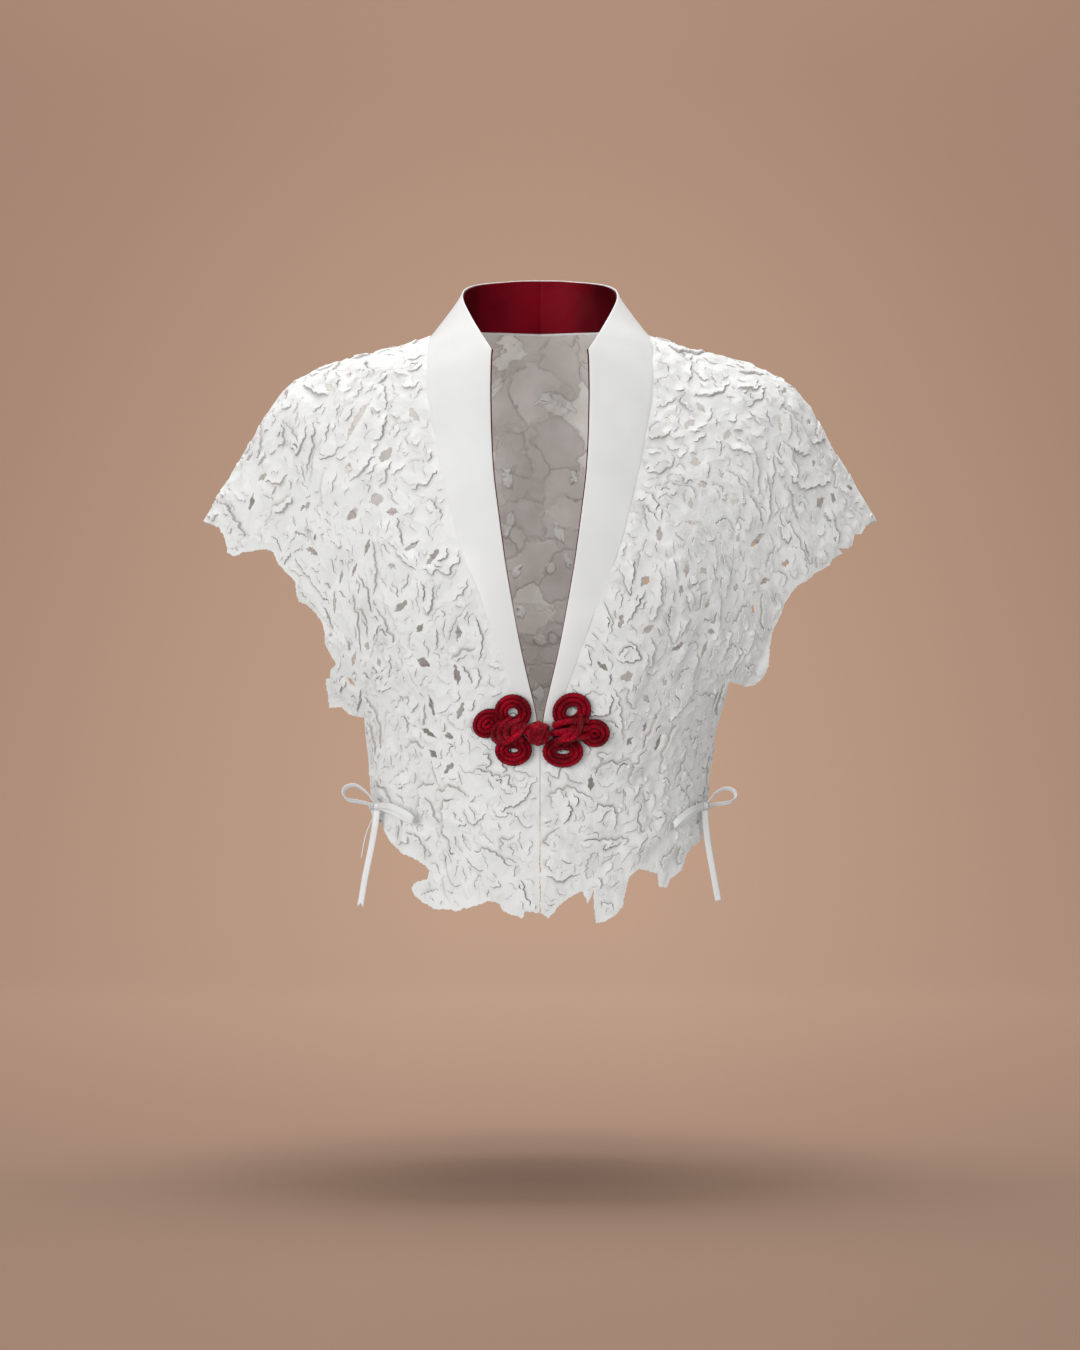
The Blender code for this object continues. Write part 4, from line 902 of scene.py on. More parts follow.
# The ways the petals lie: for each panel the middle as x and z, the reach, the lean of the
# petals' length in degrees up from level as seen from the front, and how much narrower they are.
FLOWS = {
    "front_right": rows("""
        -165 -90 55  42 0.62
        -150 -210 60  96 0.40
        -185 -300 25  8 0.50
        -60 -250 40  70 0.75
        -100 -340 45  80 0.60
        -60 -460 40  120 0.80
    """, 3, 2),
    "front_left": rows("""
        110 -230 55  84 0.50
        190 -100 45  -30 0.65
        220 -170 40  -25 0.55
        110 -330 50  72 0.48
        60 -440 35  25 0.60
        150 -270 40  62 0.50
    """, 3, 2),
    "back": rows("""
        -180 -90 60  40 0.62
        180 -90 60  -40 0.62
        0 -180 70  95 0.60
        100 -300 60  70 0.50
        -100 -300 60  110 0.50
    """, 3, 2),
}


def places_of(face, side, flat):
    """Where flat points lie on the cloth, and the ways out from it there."""
    across, down = side * flat[:, 0] / FLAT[0], np.maximum(flat[:, 1] / FLAT[1], 0)
    return cloth(face, across, down), outward(face, across, down)


def scale_at(face, flat):
    """Metres of cloth for each flat unit of across and of down, near flat points."""
    return metric(face, flat[..., 0] / FLAT[0], flat[..., 1] / FLAT[1]) / FLAT


def frayed(points, rounds, size, rng, free=None):
    """A line with each edge halved a few times, and the new points thrown aside.

    A closed line says which of its points are free; an open one is free all along.
    """
    for _ in range(rounds):
        after = np.roll(points, -1, axis=0)
        along = after - points
        thrown = rng.uniform(-size, size, len(points))
        if free is not None:
            both = free & np.roll(free, -1)
            thrown *= both
            free = np.stack([free, both], axis=1).ravel()
        aside = np.stack([along[:, 1], -along[:, 0]], axis=1) * thrown[:, None]
        points = np.stack([points, (points + after) / 2 + aside], axis=1).reshape(-1, 2)
        if free is None:
            points = points[:-1]
    return points


def resampled(loop, pitch):
    """A loop of flat points with its long edges cut to about a pitch."""
    points = []
    for a, b in zip(loop, np.roll(loop, -1, axis=0)):
        count = max(1, round(float(np.linalg.norm(b - a)) / pitch))
        points += [a + (b - a) * k / count for k in range(count)]
    return np.array(points)


def rim_of(loop, outline, rng):
    """A gap's or a panel's cut edge. The outline is only ragged at the armhole and the hem."""
    points = resampled(loop, RIM_PITCH)
    across, down = np.abs(points[:, 0] / FLAT[0]), points[:, 1] / FLAT[1]
    free = (down > FREE_DOWN) | ((across > FREE_ACROSS) & (down > FREE_RIDGE)) | (not outline)
    size = RAG if outline else GAP_RAG
    torn = frayed(points, RIM_ROUNDS, size, rng, free)
    while crosses_itself(torn):
        size *= RAG_SHRINK
        torn = frayed(points, RIM_ROUNDS, size, rng, free)
    return torn


def crosses_itself(loop):
    """Whether two edges of a closed flat loop cross."""
    a, b = loop, np.roll(loop, -1, axis=0)
    along = (b - a)[:, None]
    split = (np.cross(along, a - a[:, None]) > 0) != (np.cross(along, b - a[:, None]) > 0)
    number = np.arange(len(loop))
    gap = np.abs(number[:, None] - number)
    return bool((split & split.T & (gap > 1) & (gap < len(loop) - 1)).any())


def distances(places, others):
    """How far each place is from the nearest of some others."""
    tree = KDTree(len(others))
    for i, place in enumerate(others.tolist()):
        tree.insert((*place, 0)[:3], i)
    tree.balance()
    return np.array([tree.find((*place, 0)[:3])[2] for place in places.tolist()])


def in_rims(points, rims, outline=True):
    """Which flat points lie on the cloth: inside the outline and outside every gap."""
    good = np.ones(len(points), bool)
    for start in range(0, len(points) if outline else 0, 6000):
        good[start : start + 6000] = inside(points[start : start + 6000], rims[0])
    for rim in rims[1:]:
        near = np.flatnonzero(((points > rim.min(axis=0)) & (points < rim.max(axis=0))).all(axis=1))
        good[near] &= ~inside(points[near], rim)
    return good


def skin(rims, lines, pitch, rng):
    """A net over a panel: flat points, faces, and each rim's points. Lines are kept as edges."""
    low, high = rims[0].min(axis=0), rims[0].max(axis=0)
    cell = (pitch, pitch * ROW_PITCH)
    wide, tall = ((high - low) / cell).astype(int)
    grid = np.stack(np.meshgrid(np.arange(wide), np.arange(tall)), axis=2).reshape(-1, 2)
    grid = low + (grid + np.stack([grid[:, 1] % 2 * 0.5, 0 * grid[:, 0]], axis=1)) * cell
    grid = grid + rng.uniform(-NET_STRAY, NET_STRAY, grid.shape) * pitch
    lines = [(rim, True) for rim in rims] + lines
    kept = np.concatenate([line for line, _ in lines])
    grid = grid[distances(grid, kept) > pitch * 0.5]
    grid = grid[in_rims(grid, rims)]
    edges, turns, count = [], [], 0
    for line, closed in lines:
        turn = list(range(count, count + len(line)))
        edges += zip(turn, turn[1:] + turn[:1] * closed)
        turns.append(turn)
        count += len(line)
    points = [Vector(p) for p in np.concatenate([kept, grid]).tolist()]
    points, _, faces, olds = delaunay_2d_cdt(points, edges, [], 1, 1e-8)[:4]
    number = {old: new for new, some in enumerate(olds) for old in some}
    points, faces = np.array([tuple(p) for p in points]), np.array(faces)
    faces = faces[in_rims(points[faces].mean(axis=1), rims, False)]
    return points, faces, [[number[i] for i in turn] for turn in turns[: len(rims)]]


def petal_layers(name, face, side, rims, rng):
    """Each layer of petals: their flat middles, and each one's edge, crack widths and lip rises."""
    if name in SHOWN:
        arcs = [
            (arc_steps(a, b, lean, stretch, rng), (crack, crack), (rise, rise))
            for _, _, a, b, crack, rise, lean, *stretch in SHOWN[name]
        ]
        yield np.array(spots(face, [row[:2] for row in SHOWN[name]])) * FLAT, arcs
    for pitch, long, wide, arc, crack, rise in EDGES:
        middles = spread_middles(face, side, rims, pitch, rng)
        arcs = [
            (petal_arc(*flow(name, place, rng), long, wide, arc, rng), crack, rise)
            for place in places_of(face, side, middles)[0]
        ]
        yield middles, arcs


def petal_edges(name, face, side, rims, rng):
    """The petals' edges that show: flat points, crack widths, lip heights, scale and inner side."""
    cut, _ = places_of(face, side, np.concatenate(rims))
    taken, made = np.zeros((0, 3)), []
    for middles, arcs in petal_layers(name, face, side, rims, rng):
        scales = scale_at(face, middles)
        curves = [
            middle + steps * (side, -1) / scale
            for middle, scale, (steps, _, _) in zip(middles, scales, arcs)
        ]
        ends = np.cumsum([len(curve) for curve in curves])[:-1]
        flat = np.concatenate(curves)
        places, _ = places_of(face, side, flat)
        clear = in_rims(flat, rims) & (distances(places, cut) > GAP_CLEAR)
        for curve, middle, scale, (_, crack, rise), line, good in zip(
            curves, middles, scales, arcs, np.split(places, ends), np.split(clear, ends)
        ):
            run = clear_run(good & away_from(line, taken, CRACK_CLEAR))
            curve, line = curve[run], line[run]
            if len(curve) < CRACK_POINTS:
                continue
            fade = np.sin(np.pi * np.linspace(0, 1, len(curve))) ** CRACK_ENDS
            width = rng.uniform(*crack) * fade * rng.uniform(*CRACK_VARIES, len(curve))
            inner = np.cross(curve[-1] - curve[0], middle - curve[len(curve) // 2]) > 0
            made.append((curve, width, rng.uniform(*rise) * fade, scale, 1 if inner else -1))
            taken = np.concatenate([taken, line])
    return made


def petal_arc(lean, slim, long, wide, arc, rng):
    """A torn stretch of a petal's edge, as steps from its middle to the left and up, in metres."""
    a, b = rng.uniform(*long) * slim**-0.3, rng.uniform(*wide) * slim
    turn, half = rng.choice(TURNS) + rng.normal(0, TURN_STRAY), rng.uniform(*arc)
    return arc_steps(a, b, lean, (turn - half, turn + half), rng)


def arc_steps(a, b, lean, stretch, rng):
    """A torn stretch of an ellipse with half sizes a and b, between two angles in degrees."""
    half = (stretch[1] - stretch[0]) / 2
    count = max(3, round((a + b) * math.radians(half) / (2**FRAY_ROUNDS * CRACK_STEP)) + 1)
    spin = np.radians(np.linspace(*stretch, count))
    size = 1 + rng.uniform(-ARC_STRAY, ARC_STRAY, len(spin))
    steps = np.stack([a * np.cos(spin), b * np.sin(spin)], axis=1) * size[:, None]
    cos, sin = math.cos(math.radians(lean)), math.sin(math.radians(lean))
    return frayed(steps @ np.array([[cos, sin], [-sin, cos]]), FRAY_ROUNDS, FRAY, rng)


def away_from(places, others, least):
    """Which of a line's places lie further than a least distance from all of some others."""
    near = others[np.abs(others[:, 0] - places[:, 0].mean()) < NEAR]
    return (np.linalg.norm(places[:, None] - near, axis=2) > least).all(axis=1)


def spread_middles(face, side, rims, pitch, rng):
    """Flat spots on the cloth, at least a pitch apart."""
    tries = rng.uniform(rims[0].min(axis=0), rims[0].max(axis=0), (int(4 / pitch**1.75), 2))
    tries = tries[in_rims(tries, rims)]
    return tries[scattered(places_of(face, side, tries)[0], pitch)]


def flow(name, place, rng):
    """The lean of a petal at a place, and how slim it is."""
    lean, slim, weight = rng.uniform(0, 360), 1.0, FLOW_LEAST
    for x, z, reach, way, narrow in FLOWS[name]:
        near = math.exp(-((place[0] - x) ** 2 + (place[2] - z) ** 2) / reach**2)
        if near > weight:
            lean = way + rng.normal(0, LEAN_STRAY) + 180 * rng.integers(2)
            slim, weight = narrow, near
    return lean, slim


def clear_run(clear):
    """The stretch round the middle of a line where it is clear."""
    middle = len(clear) // 2
    if not clear[middle]:
        return slice(0)
    before, after = np.flatnonzero(~clear[:middle]), np.flatnonzero(~clear[middle:])
    stop = middle + after[0] if len(after) else len(clear)
    return slice(before[-1] + 1 if len(before) else 0, stop)


def crack_lines(edges):
    """Each crack's middle line and the loop of its two lips, to be kept as edges of the net."""
    lines = []
    for flat, width, _, scale, _ in edges:
        aside = unit(np.gradient(flat * scale, axis=0)[:, ::-1] * (1, -1))
        half = (aside * width[:, None] / 2 / scale)[1:-1]
        lips = [flat[:1], flat[1:-1] + half, flat[-1:], (flat[1:-1] - half)[::-1]]
        lines += [(flat, False), (np.concatenate(lips), True)]
    return lines


def relief(flat, places, edges, rng):
    """The height of the lace's face at each point, how deep in a crack it lies, and how much painted
    shade falls at a lip's foot.
    """
    height, crack, shade = np.zeros((3, len(flat)))
    for _ in range(WAVES):
        way = rng.normal(0, 1, 3)
        way *= 2 * math.pi / rng.uniform(*WAVE_LENGTH) / np.linalg.norm(way)
        height += WAVE_HEIGHT * np.cos(places @ way + rng.uniform(0, TURN))
    order = np.argsort(flat[:, 0])
    sorted_x = flat[order, 0]
    for line, width, rise, scale, inner in edges:
        low, high = line.min(axis=0) - RELIEF_REACH, line.max(axis=0) + RELIEF_REACH
        some = order[slice(*np.searchsorted(sorted_x, (low[0], high[0])))]
        some = some[(flat[some, 1] > low[1]) & (flat[some, 1] < high[1])]
        a, b = line[:-1] * scale, line[1:] * scale
        to, along = flat[some, None] * scale - a, b - a
        t = np.clip((to * along).sum(axis=2) / (along**2).sum(axis=1), 0, 1)
        away = to - t[..., None] * along
        nearest = (away**2).sum(axis=2).argmin(axis=1)
        each = np.arange(len(some))
        off, t = away[each, nearest], t[each, nearest]
        distance = np.linalg.norm(off, axis=1)
        left = np.cross(along[nearest], off) * inner > 0
        wide = width[nearest] * (1 - t) + width[nearest + 1] * t
        tall = rise[nearest] * (1 - t) + rise[nearest + 1] * t
        past = np.maximum(distance - wide / 2, 0)
        lifted = np.where(left, np.exp(-past / LIP_REACH), -FOOT_DROP * np.exp(-past / FOOT_REACH))
        height[some] += tall * lifted
        # painted shade on a lip's low side, where its shadow falls
        dark = np.where(left, 0, np.exp(-((past / SHADE_REACH) ** 2)))
        shade[some] = np.maximum(shade[some], dark * np.clip(tall / SHADE_RISE, 0, 1))
        deep = np.clip(1 - distance / np.maximum(wide / 2, 1e-6), 0, 1) * np.clip(wide / THIN, 0, 1)
        crack[some] = np.maximum(crack[some], deep)
    most = np.where(pressed(places), PRESSED, LIFT_MOST)
    height = most * np.tanh(np.maximum(height, 0) / most) + np.clip(height, LIFT_LEAST, 0)
    return height, crack, shade


def pressed(places):
    """Which places lie under the frog, or under a ribbon."""
    x, z = places[:, 0], places[:, 2]
    under = (np.abs(x) < FROG_HALF[0]) & (np.abs(z - BUTTON_AT[1]) < FROG_HALF[1])
    for side, (knot_x, knot_z) in TIE_KNOT.items():
        under |= (side * x > knot_x - BOW_IN) & (np.abs(z - knot_z + BOW_BELOW) < BOW_HALF)
    return under


def turned_to(points, faces, way):
    """Faces turned so that, on the whole, they face a way given at each point."""
    a, b, c = points[faces.T]
    if (np.cross(b - a, c - a) * way[faces[:, 0]]).sum() < 0:
        return faces[:, ::-1]
    return faces


def backed(face, side, rim):
    """Whether a leaf lies behind a gap."""
    x, _, z = places_of(face, side, rim)[0].mean(axis=0)
    if face == BACK:
        return abs(x) < LEAF_ASIDE
    return z < LEAF_BELOW and len(rim) < HOLE_POINTS


def leaf(face, side, loop):
    """A pale leaf of a second layer, laid on the inner side behind a gap."""
    middle, count = loop.mean(axis=0), len(loop)
    scale = scale_at(face, middle)
    away = (loop - middle) * scale
    edge = middle + away * (1 + LEAF_PAST / np.linalg.norm(away, axis=1, keepdims=True)) / scale
    rings = [middle + (edge - middle) * share for share in LEAF_RINGS]
    places, out = places_of(face, side, np.concatenate([*rings, middle[None]]))
    around = quads(4, count, around=True)
    faces = around[: 2 * count, [[0, 1, 2], [0, 2, 3]]].reshape(-1, 3)
    fan = np.minimum(around[2 * count :, :3], 3 * count)
    faces = turned_to(places, np.concatenate([faces, fan]), out)
    deep = len(places)
    walls = around[:count, [0, 0, 1, 1]] + (0, deep, deep, 0)
    if faces[0][0]:
        walls = walls[:, ::-1]
    points = np.concatenate([places - out * LEAF_GAP, places - out * (LEAF_GAP + LEAF_THICK)])
    return points, [*faces, *(faces[:, ::-1] + deep), *walls], np.zeros((len(points), 2))


def rim_walls(outer_faces, outer_rims, inner_rims):
    """Triangles that join the two skins along each rim. The outer faces say which way it runs."""
    turned = {tuple(edge) for edge in outer_faces[:, [[0, 1], [1, 2], [2, 0]]].reshape(-1, 2).tolist()}
    walls = []
    for high, low in zip(outer_rims, inner_rims):
        if (high[0], high[1]) not in turned:
            high, low = high[::-1], low[::-1]
        for a, b, low_a, low_b in zip(high, high[1:] + high[:1], low, low[1:] + low[:1]):
            walls += [(b, a, low_b), (a, low_a, low_b)]
    return walls


def lace_panel(name, face, side, outline, seed):
    """A lace panel: a wall with its gaps cut through, whose outside is worked into petals."""
    rng = np.random.default_rng(seed)
    smooth = np.array(outline) * FLAT
    loops = gap_loops(name, face, smooth, rng)
    rims = [rim_of(smooth, True, rng)] + [rim_of(loop, False, rng) for loop in loops]
    edges = petal_edges(name, face, side, rims, rng)
    outer, outer_faces, outer_rims = skin(rims, crack_lines(edges), OUTER_PITCH[face], rng)
    inner, inner_faces, inner_rims = skin(rims, [], INNER_PITCH[face], rng)
    places, out = places_of(face, side, outer)
    under, under_out = places_of(face, side, inner)
    outer_faces = turned_to(places, outer_faces, out)
    inner_faces = turned_to(under, inner_faces, -under_out)
    lift, crack, shade = relief(outer, places, edges, rng)
    to_rim = distances(places, places[[i for turn in outer_rims for i in turn]])
    taper = RIM_TAPER[1] + (1 - RIM_TAPER[1]) * np.clip(to_rim / RIM_TAPER[0], 0, 1)
    raised = places + out * (LACE_BASE + lift * taper * (1 - crack) - CRACK_FLOOR * crack)[:, None]
    # the uv carries painted shade: its first number at the foot of a lip, its second in a crack
    coordinates = np.concatenate([np.stack([shade, crack], axis=1), np.zeros((len(under), 2))])
    inner_rims = [[i + len(outer) for i in turn] for turn in inner_rims]
    walls = rim_walls(outer_faces, outer_rims, inner_rims)
    faces = np.concatenate([outer_faces, walls, inner_faces + len(outer)])
    points = np.concatenate([raised, under])
    panel = add_mesh(f"{name}_lace", points, faces, LOOKS["lace"], coordinates)
    panel.data.materials.append(LOOKS["inner"])
    on_inside = np.arange(len(faces)) >= len(outer_faces) + len(walls)
    panel.data.polygons.foreach_set("material_index", on_inside.astype(np.int32))
    panel.data.set_sharp_from_angle(angle=SHARP)
    leaves = [leaf(face, side, rim) for rim in rims[1:] if backed(face, side, rim)]
    backing = joined(f"{name}_leaves", leaves, LOOKS["leaf"])
    keep(panel, name)
    keep(backing)
    return panel, backing


# ---- the collar --------------------------------------------------------------------------------

BAND_FINE_ROWS, BAND_FINE_COLUMNS = 5, 4  # how many steps each row and column of the band is cut into
SATIN_THICK, LINING_THICK = 0.0014, 0.0010
ROLLED_EDGE = 0.0004
CORNER_ROW = len(BAND_NECK) + 2  # the first station of the flat band, where the neck's ones end


def refined(sheet, times, axis):
    """A grid of points cut finer along an axis by a Catmull-Rom curve."""
    moved = np.moveaxis(sheet, axis, 0)
    ends = lengthened(moved)
    t = (np.arange(1, times + 1) / times).reshape(-1, 1, 1)
    finer = [curve_at(*ends[i : i + 4], t) for i in range(len(moved) - 1)]
    return np.moveaxis(np.concatenate([moved[:1], *finer]), 0, axis)


def band_half(name, side, lining):
    """One half of the satin band, or of its lining."""
    sheet = band_sheet(lining) * (side, 1, 1)
    sheet[0, :, 0] = side * CENTRE_BACK_GAP
    neck = refined(sheet[: CORNER_ROW + 1], BAND_FINE_ROWS, 0)
    fronts = refined(sheet[CORNER_ROW:], BAND_FINE_ROWS, 0)
    sheet = refined(np.concatenate([neck, fronts[1:]]), BAND_FINE_COLUMNS, 1)
    faces = quads(*sheet.shape[:2])
    if (side == RIGHT) != lining:
        faces = faces[:, ::-1]
    slot = "lining" if lining else "satin"
    piece = add_mesh(f"{name}_satin", sheet.reshape(-1, 3), faces, LOOKS[slot])
    thicken(piece, LINING_THICK if lining else SATIN_THICK, 1)
    soften = piece.modifiers.new("Rolled edge", "BEVEL")
    soften.width = ROLLED_EDGE
    soften.segments = 2
    soften.limit_method = "ANGLE"
    keep(piece, name)
    return piece


# ---- the frog ----------------------------------------------------------------------------------

STRAND_RADIUS, STRAND_RINGS, STRAND_SIDES = 0.00215, 0.0008, 16
PLIES, PLY_PITCH, PLY_DEPTH, PLY_CROWN = 3, 0.0090, 0.13, 1.6
LOOP_STRANDS, LOOP_SPACING = 3, 1.72  # strands in a loop, and between their middles in strand radii
LOOP_POINTS, LOOP_CROWN = 16, 0.0011  # points round a loop, and how far its middle strand is raised
GATHER_RADIUS, GATHER_SUNK = 0.0035, 0.0012
BALL_RADIUS, BALL_STRAND, BALL_SPACING, BALL_WEAVE = 0.0076, 0.0034, 0.0062, 0.0010
BALL_RAISED = 0.0015  # above the middle of the solid's ball
BALL_FLAT = 0.76  # the ball's depth from front to back, as a share of its height
BALL_CORE, CORE_ROWS, CORE_SIDES, CORE_END = 0.0104, 12, 24, 0.12
BALL_TURNS = ((64, 1), (-26, -1))  # the lean of each pair of turns, and which goes over first
BALL_POINTS, BALL_START = 84, 0.01  # points along a turn, and where it starts, in radians

# The loops of each half: middle as x and z, half width and half height of the outer strand, and
# its lean in degrees.
LOOPS = {
    RIGHT: rows("""
        22.8 -327.2 13.6 13.2 0
        22.2 -359.8 13.4 11.2 0
        43.2 -336.6 11.6 9.8 -40
    """, 4, 1),
    LEFT: rows("""
        26.6 -326.2 14.8 13 35
        19.2 -361.2 15 11.2 0
        45.6 -345 10.4 10 0
    """, 4, 1),
}
# The knots that gather the loops: each turn is a curve through four places, as x, z and height.
GATHERS = {
    RIGHT: rows("""
        30 -333.5 6  37.2 -340 10  37.5 -348 10  30 -354.5 6
        24.5 -332 8  31.8 -338 14  32.5 -346.5 14.5  25.5 -353.5 8
        18 -333 8  26.2 -337.8 16.5  27 -345 17  20.5 -353 9
        13 -337.5 7  20.5 -339.5 15  21.2 -344.5 15  15 -350.5 8
        36 -350 7  27 -351 13  19 -345.5 16.5  12 -338.5 8
    """, 12),
    LEFT: rows("""
        39.5 -334 7  30 -333.5 13  20.5 -334.5 13  12 -338.5 7
        40 -340.5 7  30.5 -340 16  20.5 -342 16  11.5 -345 7
        40 -347.5 7  30 -347 15  20.5 -349 15  12.5 -352 7
        33.5 -330 7  32.5 -338.5 17.5  27 -346.5 16.5  20 -354.5 7
        30.5 -337.2 8  26.2 -340.2 17.2  20 -346.8 16.2  14 -354.5 7
    """, 12),
}


def rope(points, radius, closed, lay=1):
    """A laid cord along points: ring points, faces and coordinates along and round it."""
    along = np.gradient(points, axis=0)
    if closed:
        along = np.roll(points, -1, axis=0) - np.roll(points, 1, axis=0)
    along = unit(along)
    out = square_to(along, (0, -1, 0))
    beside = np.cross(along, out)
    steps = np.linalg.norm(np.diff(points, axis=0, append=points[:1]), axis=1)
    length = np.concatenate([[0], np.cumsum(steps)[:-1]])[:, None]
    pitch = steps.sum() / max(1, round(steps.sum() / PLY_PITCH)) if closed else PLY_PITCH
    spin = np.linspace(-math.pi, math.pi, STRAND_SIDES, endpoint=False)
    phase = spin * PLIES - lay * 2 * math.pi * PLIES * length / pitch
    size = radius * (1 - PLY_DEPTH + PLY_DEPTH * np.abs(np.cos(phase / 2)) * PLY_CROWN)
    ring = out[:, None] * np.cos(spin)[:, None] + beside[:, None] * np.sin(spin)[:, None]
    mesh = (points[:, None] + ring * size[..., None]).reshape(-1, 3)
    faces = quads(len(points), STRAND_SIDES, around=True, along=closed).tolist()
    if not closed:
        end = range(STRAND_SIDES)
        faces += [end[::-1], [i + len(mesh) - STRAND_SIDES for i in end]]
    uv = np.stack(np.broadcast_arrays(length * CORD_ALONG, spin / CORD_TURN), axis=2)
    return mesh, faces, uv.reshape(-1, 2)


def closed_route(points, step):
    """Points about a step apart on a closed smooth curve."""
    route = smooth_route(np.concatenate([points[-2:], points, points[:2]]), step)
    from_start = np.linalg.norm(route - points[0], axis=1)
    start = from_start.argmin()
    return route[start : start + 3 + from_start[start + 3 :].argmin()]


def frog_half(side, label):
    """A half of the frog: looped petals of laid cord, and the turns that gather them."""
    parts = []
    spin = np.linspace(0, 2 * math.pi, LOOP_POINTS, endpoint=False)
    for x, z, wide, tall, lean in LOOPS[side]:
        cos, sin = math.cos(math.radians(lean)), math.sin(math.radians(lean))
        for strand in range(LOOP_STRANDS):
            inset = strand * LOOP_SPACING * STRAND_RADIUS
            a, b = (wide - inset) * np.cos(spin), (tall - inset) * np.sin(spin)
            height = FROG_LIFT + STRAND_RADIUS + LOOP_CROWN * (strand == 1)
            loop = zip(x + a * cos - b * sin, z + a * sin + b * cos)
            path = np.array([on_face(FRONT, *place, height) for place in loop])
            path = closed_route(path, STRAND_RINGS) * (side, 1, 1)
            parts.append(rope(path, STRAND_RADIUS, True, 1 if strand % 2 else -1))
    for turn in np.array(GATHERS[side]).reshape(-1, 4, 3):
        places = [on_face(FRONT, x, z, height - GATHER_SUNK) for x, z, height in turn]
        route = smooth_route(np.array(places) * (side, 1, 1), STRAND_RINGS)
        parts.append(rope(route, GATHER_RADIUS, False))
    keep(joined(f"frog_{label}_cord", parts, LOOKS["cord"]), f"frog_{label}")


def ball_core():
    """The core that the ball knot's turns are wound on."""
    down = np.linspace(CORE_END, math.pi - CORE_END, CORE_ROWS)[:, None]
    around = np.linspace(0, 2 * math.pi, CORE_SIDES, endpoint=False)
    core = np.sin(down) * np.cos(around), np.sin(down) * np.sin(around), np.cos(down)
    core = np.stack(np.broadcast_arrays(*core), axis=2).reshape(-1, 3) * BALL_CORE * (1, BALL_FLAT, 1)
    end = range(CORE_SIDES)
    faces = quads(CORE_ROWS, CORE_SIDES, around=True)[:, [0, 3, 2, 1]].tolist()
    return core, faces + [end, [i + len(core) - CORE_SIDES for i in end[::-1]]]


def frog_button():
    """The ball knot: two sets of two turns, woven over and under each other round a core."""
    centre = on_face(FRONT, abs(BUTTON_AT[0]), BUTTON_AT[1], FROG_LIFT + BUTTON_DEPTH)
    centre[0] = BUTTON_AT[0]
    centre[2] += BALL_RAISED
    spin = np.linspace(0, 2 * math.pi, BALL_POINTS, endpoint=False) + BALL_START
    parts = []
    for way, sign in BALL_TURNS:
        axis = np.array([math.cos(math.radians(way)), 0, math.sin(math.radians(way))])
        beside = np.cross(axis, (0, 1, 0))
        for number in (-1, 1):
            offset = number * BALL_SPACING / 2
            size = math.sqrt(BALL_RADIUS**2 - offset**2)
            crossing = np.sin(math.pi * size * np.sin(spin) / BALL_SPACING)
            ring = size + sign * number * BALL_WEAVE * crossing
            path = offset * axis + (ring * np.sin(spin))[:, None] * beside
            path = path + (ring * np.cos(spin))[:, None] * np.array([0, -1, 0])
            parts.append(rope(centre + path * (1, BALL_FLAT, 1), BALL_STRAND, True))
    core, faces = ball_core()
    parts.append((centre + core, faces, core[:, [0, 2]]))
    keep(joined("frog_button_knot", parts, LOOKS["cord"]), "frog_button")


# ---- the ties ----------------------------------------------------------------------------------

TAPE_THICK, TAPE_STEP, TAPE_COLUMNS = 0.0005, 0.0015, 7
TAPE_EDGE = 0.55  # the tape's soft crown across its width, as a share of its thickness
NOTCH = 0.004  # how deep the end of the right front tail is cut
LACING_POINTS, LACING_SIDE = 6, 0.985  # points on each face, and how far across it the side is met
LACING_UNDER = 0.004  # how far inside the knot it starts
KNOT_RINGS, KNOT_COLUMNS = 28, 9
KNOT_WIDE, KNOT_PINCH, KNOT_FOLD = 0.82, 0.22, 0.05  # as shares of its own half sizes


def tape(name, route, way, side, notch=0.0):
    """A satin tape along a route, cut at its end with a notch or square."""
    route = np.array(route)
    along = unit(np.gradient(route, axis=0))
    way = square_to(along, way)
    out = np.cross(along, way)
    across = np.linspace(-1, 1, TAPE_COLUMNS)
    sheet = route[:, None] + way[:, None] * across[:, None] * RIBBON_WIDTH / 2
    sheet = sheet + out[:, None] * ((1 - across**2) * TAPE_THICK * TAPE_EDGE)[:, None]
    fade = np.linspace(0, 1, len(route))[:, None] ** 8
    sheet = sheet + along[:, None] * (fade * notch * (np.abs(across) - 0.5))[..., None]
    length = np.arange(len(route)) * TAPE_STEP
    uv = np.stack(np.broadcast_arrays(length[:, None], across * RIBBON_WIDTH), axis=2)
    points, faces = (sheet * (side, 1, 1)).reshape(-1, 3), quads(len(route), TAPE_COLUMNS)
    piece = add_mesh(f"{name}_tape", points, faces, LOOKS["tape"], uv.reshape(-1, 2))
    thicken(piece, TAPE_THICK, 0)
    keep(piece, name)
    return piece


def tie(side, label):
    """The ribbon bow at one side of the waist."""
    x, z = TIE_KNOT[side]
    knot = on_face(FRONT, x, z, FRONT_TOP + RIBBON_THICK + 2 * SEAM + KNOT_RADIUS[1])
    for part, steps in TIE_ROUTES[side].items():
        points = knot + np.array(steps)
        if part == "loop_inner":
            points = np.array([on_face(FRONT, x + a, z + b, height) for a, height, b in steps])
        if part.startswith("loop"):
            points[0], points[-1] = on_knot(knot, points[0]), on_knot(knot, points[-1])
        route = smooth_route(points, TAPE_STEP)
        notch = NOTCH if part == "tail_front" and side == RIGHT else 0.0
        piece = tape(f"tie_{label}_{part}", route, TIE_WAYS[part], side, notch)
        if part.startswith("tail"):
            path = route * (side, 1, 1)
            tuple(path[0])
    lacing(side, label, x, z)
    tie_knot(side, label, knot)


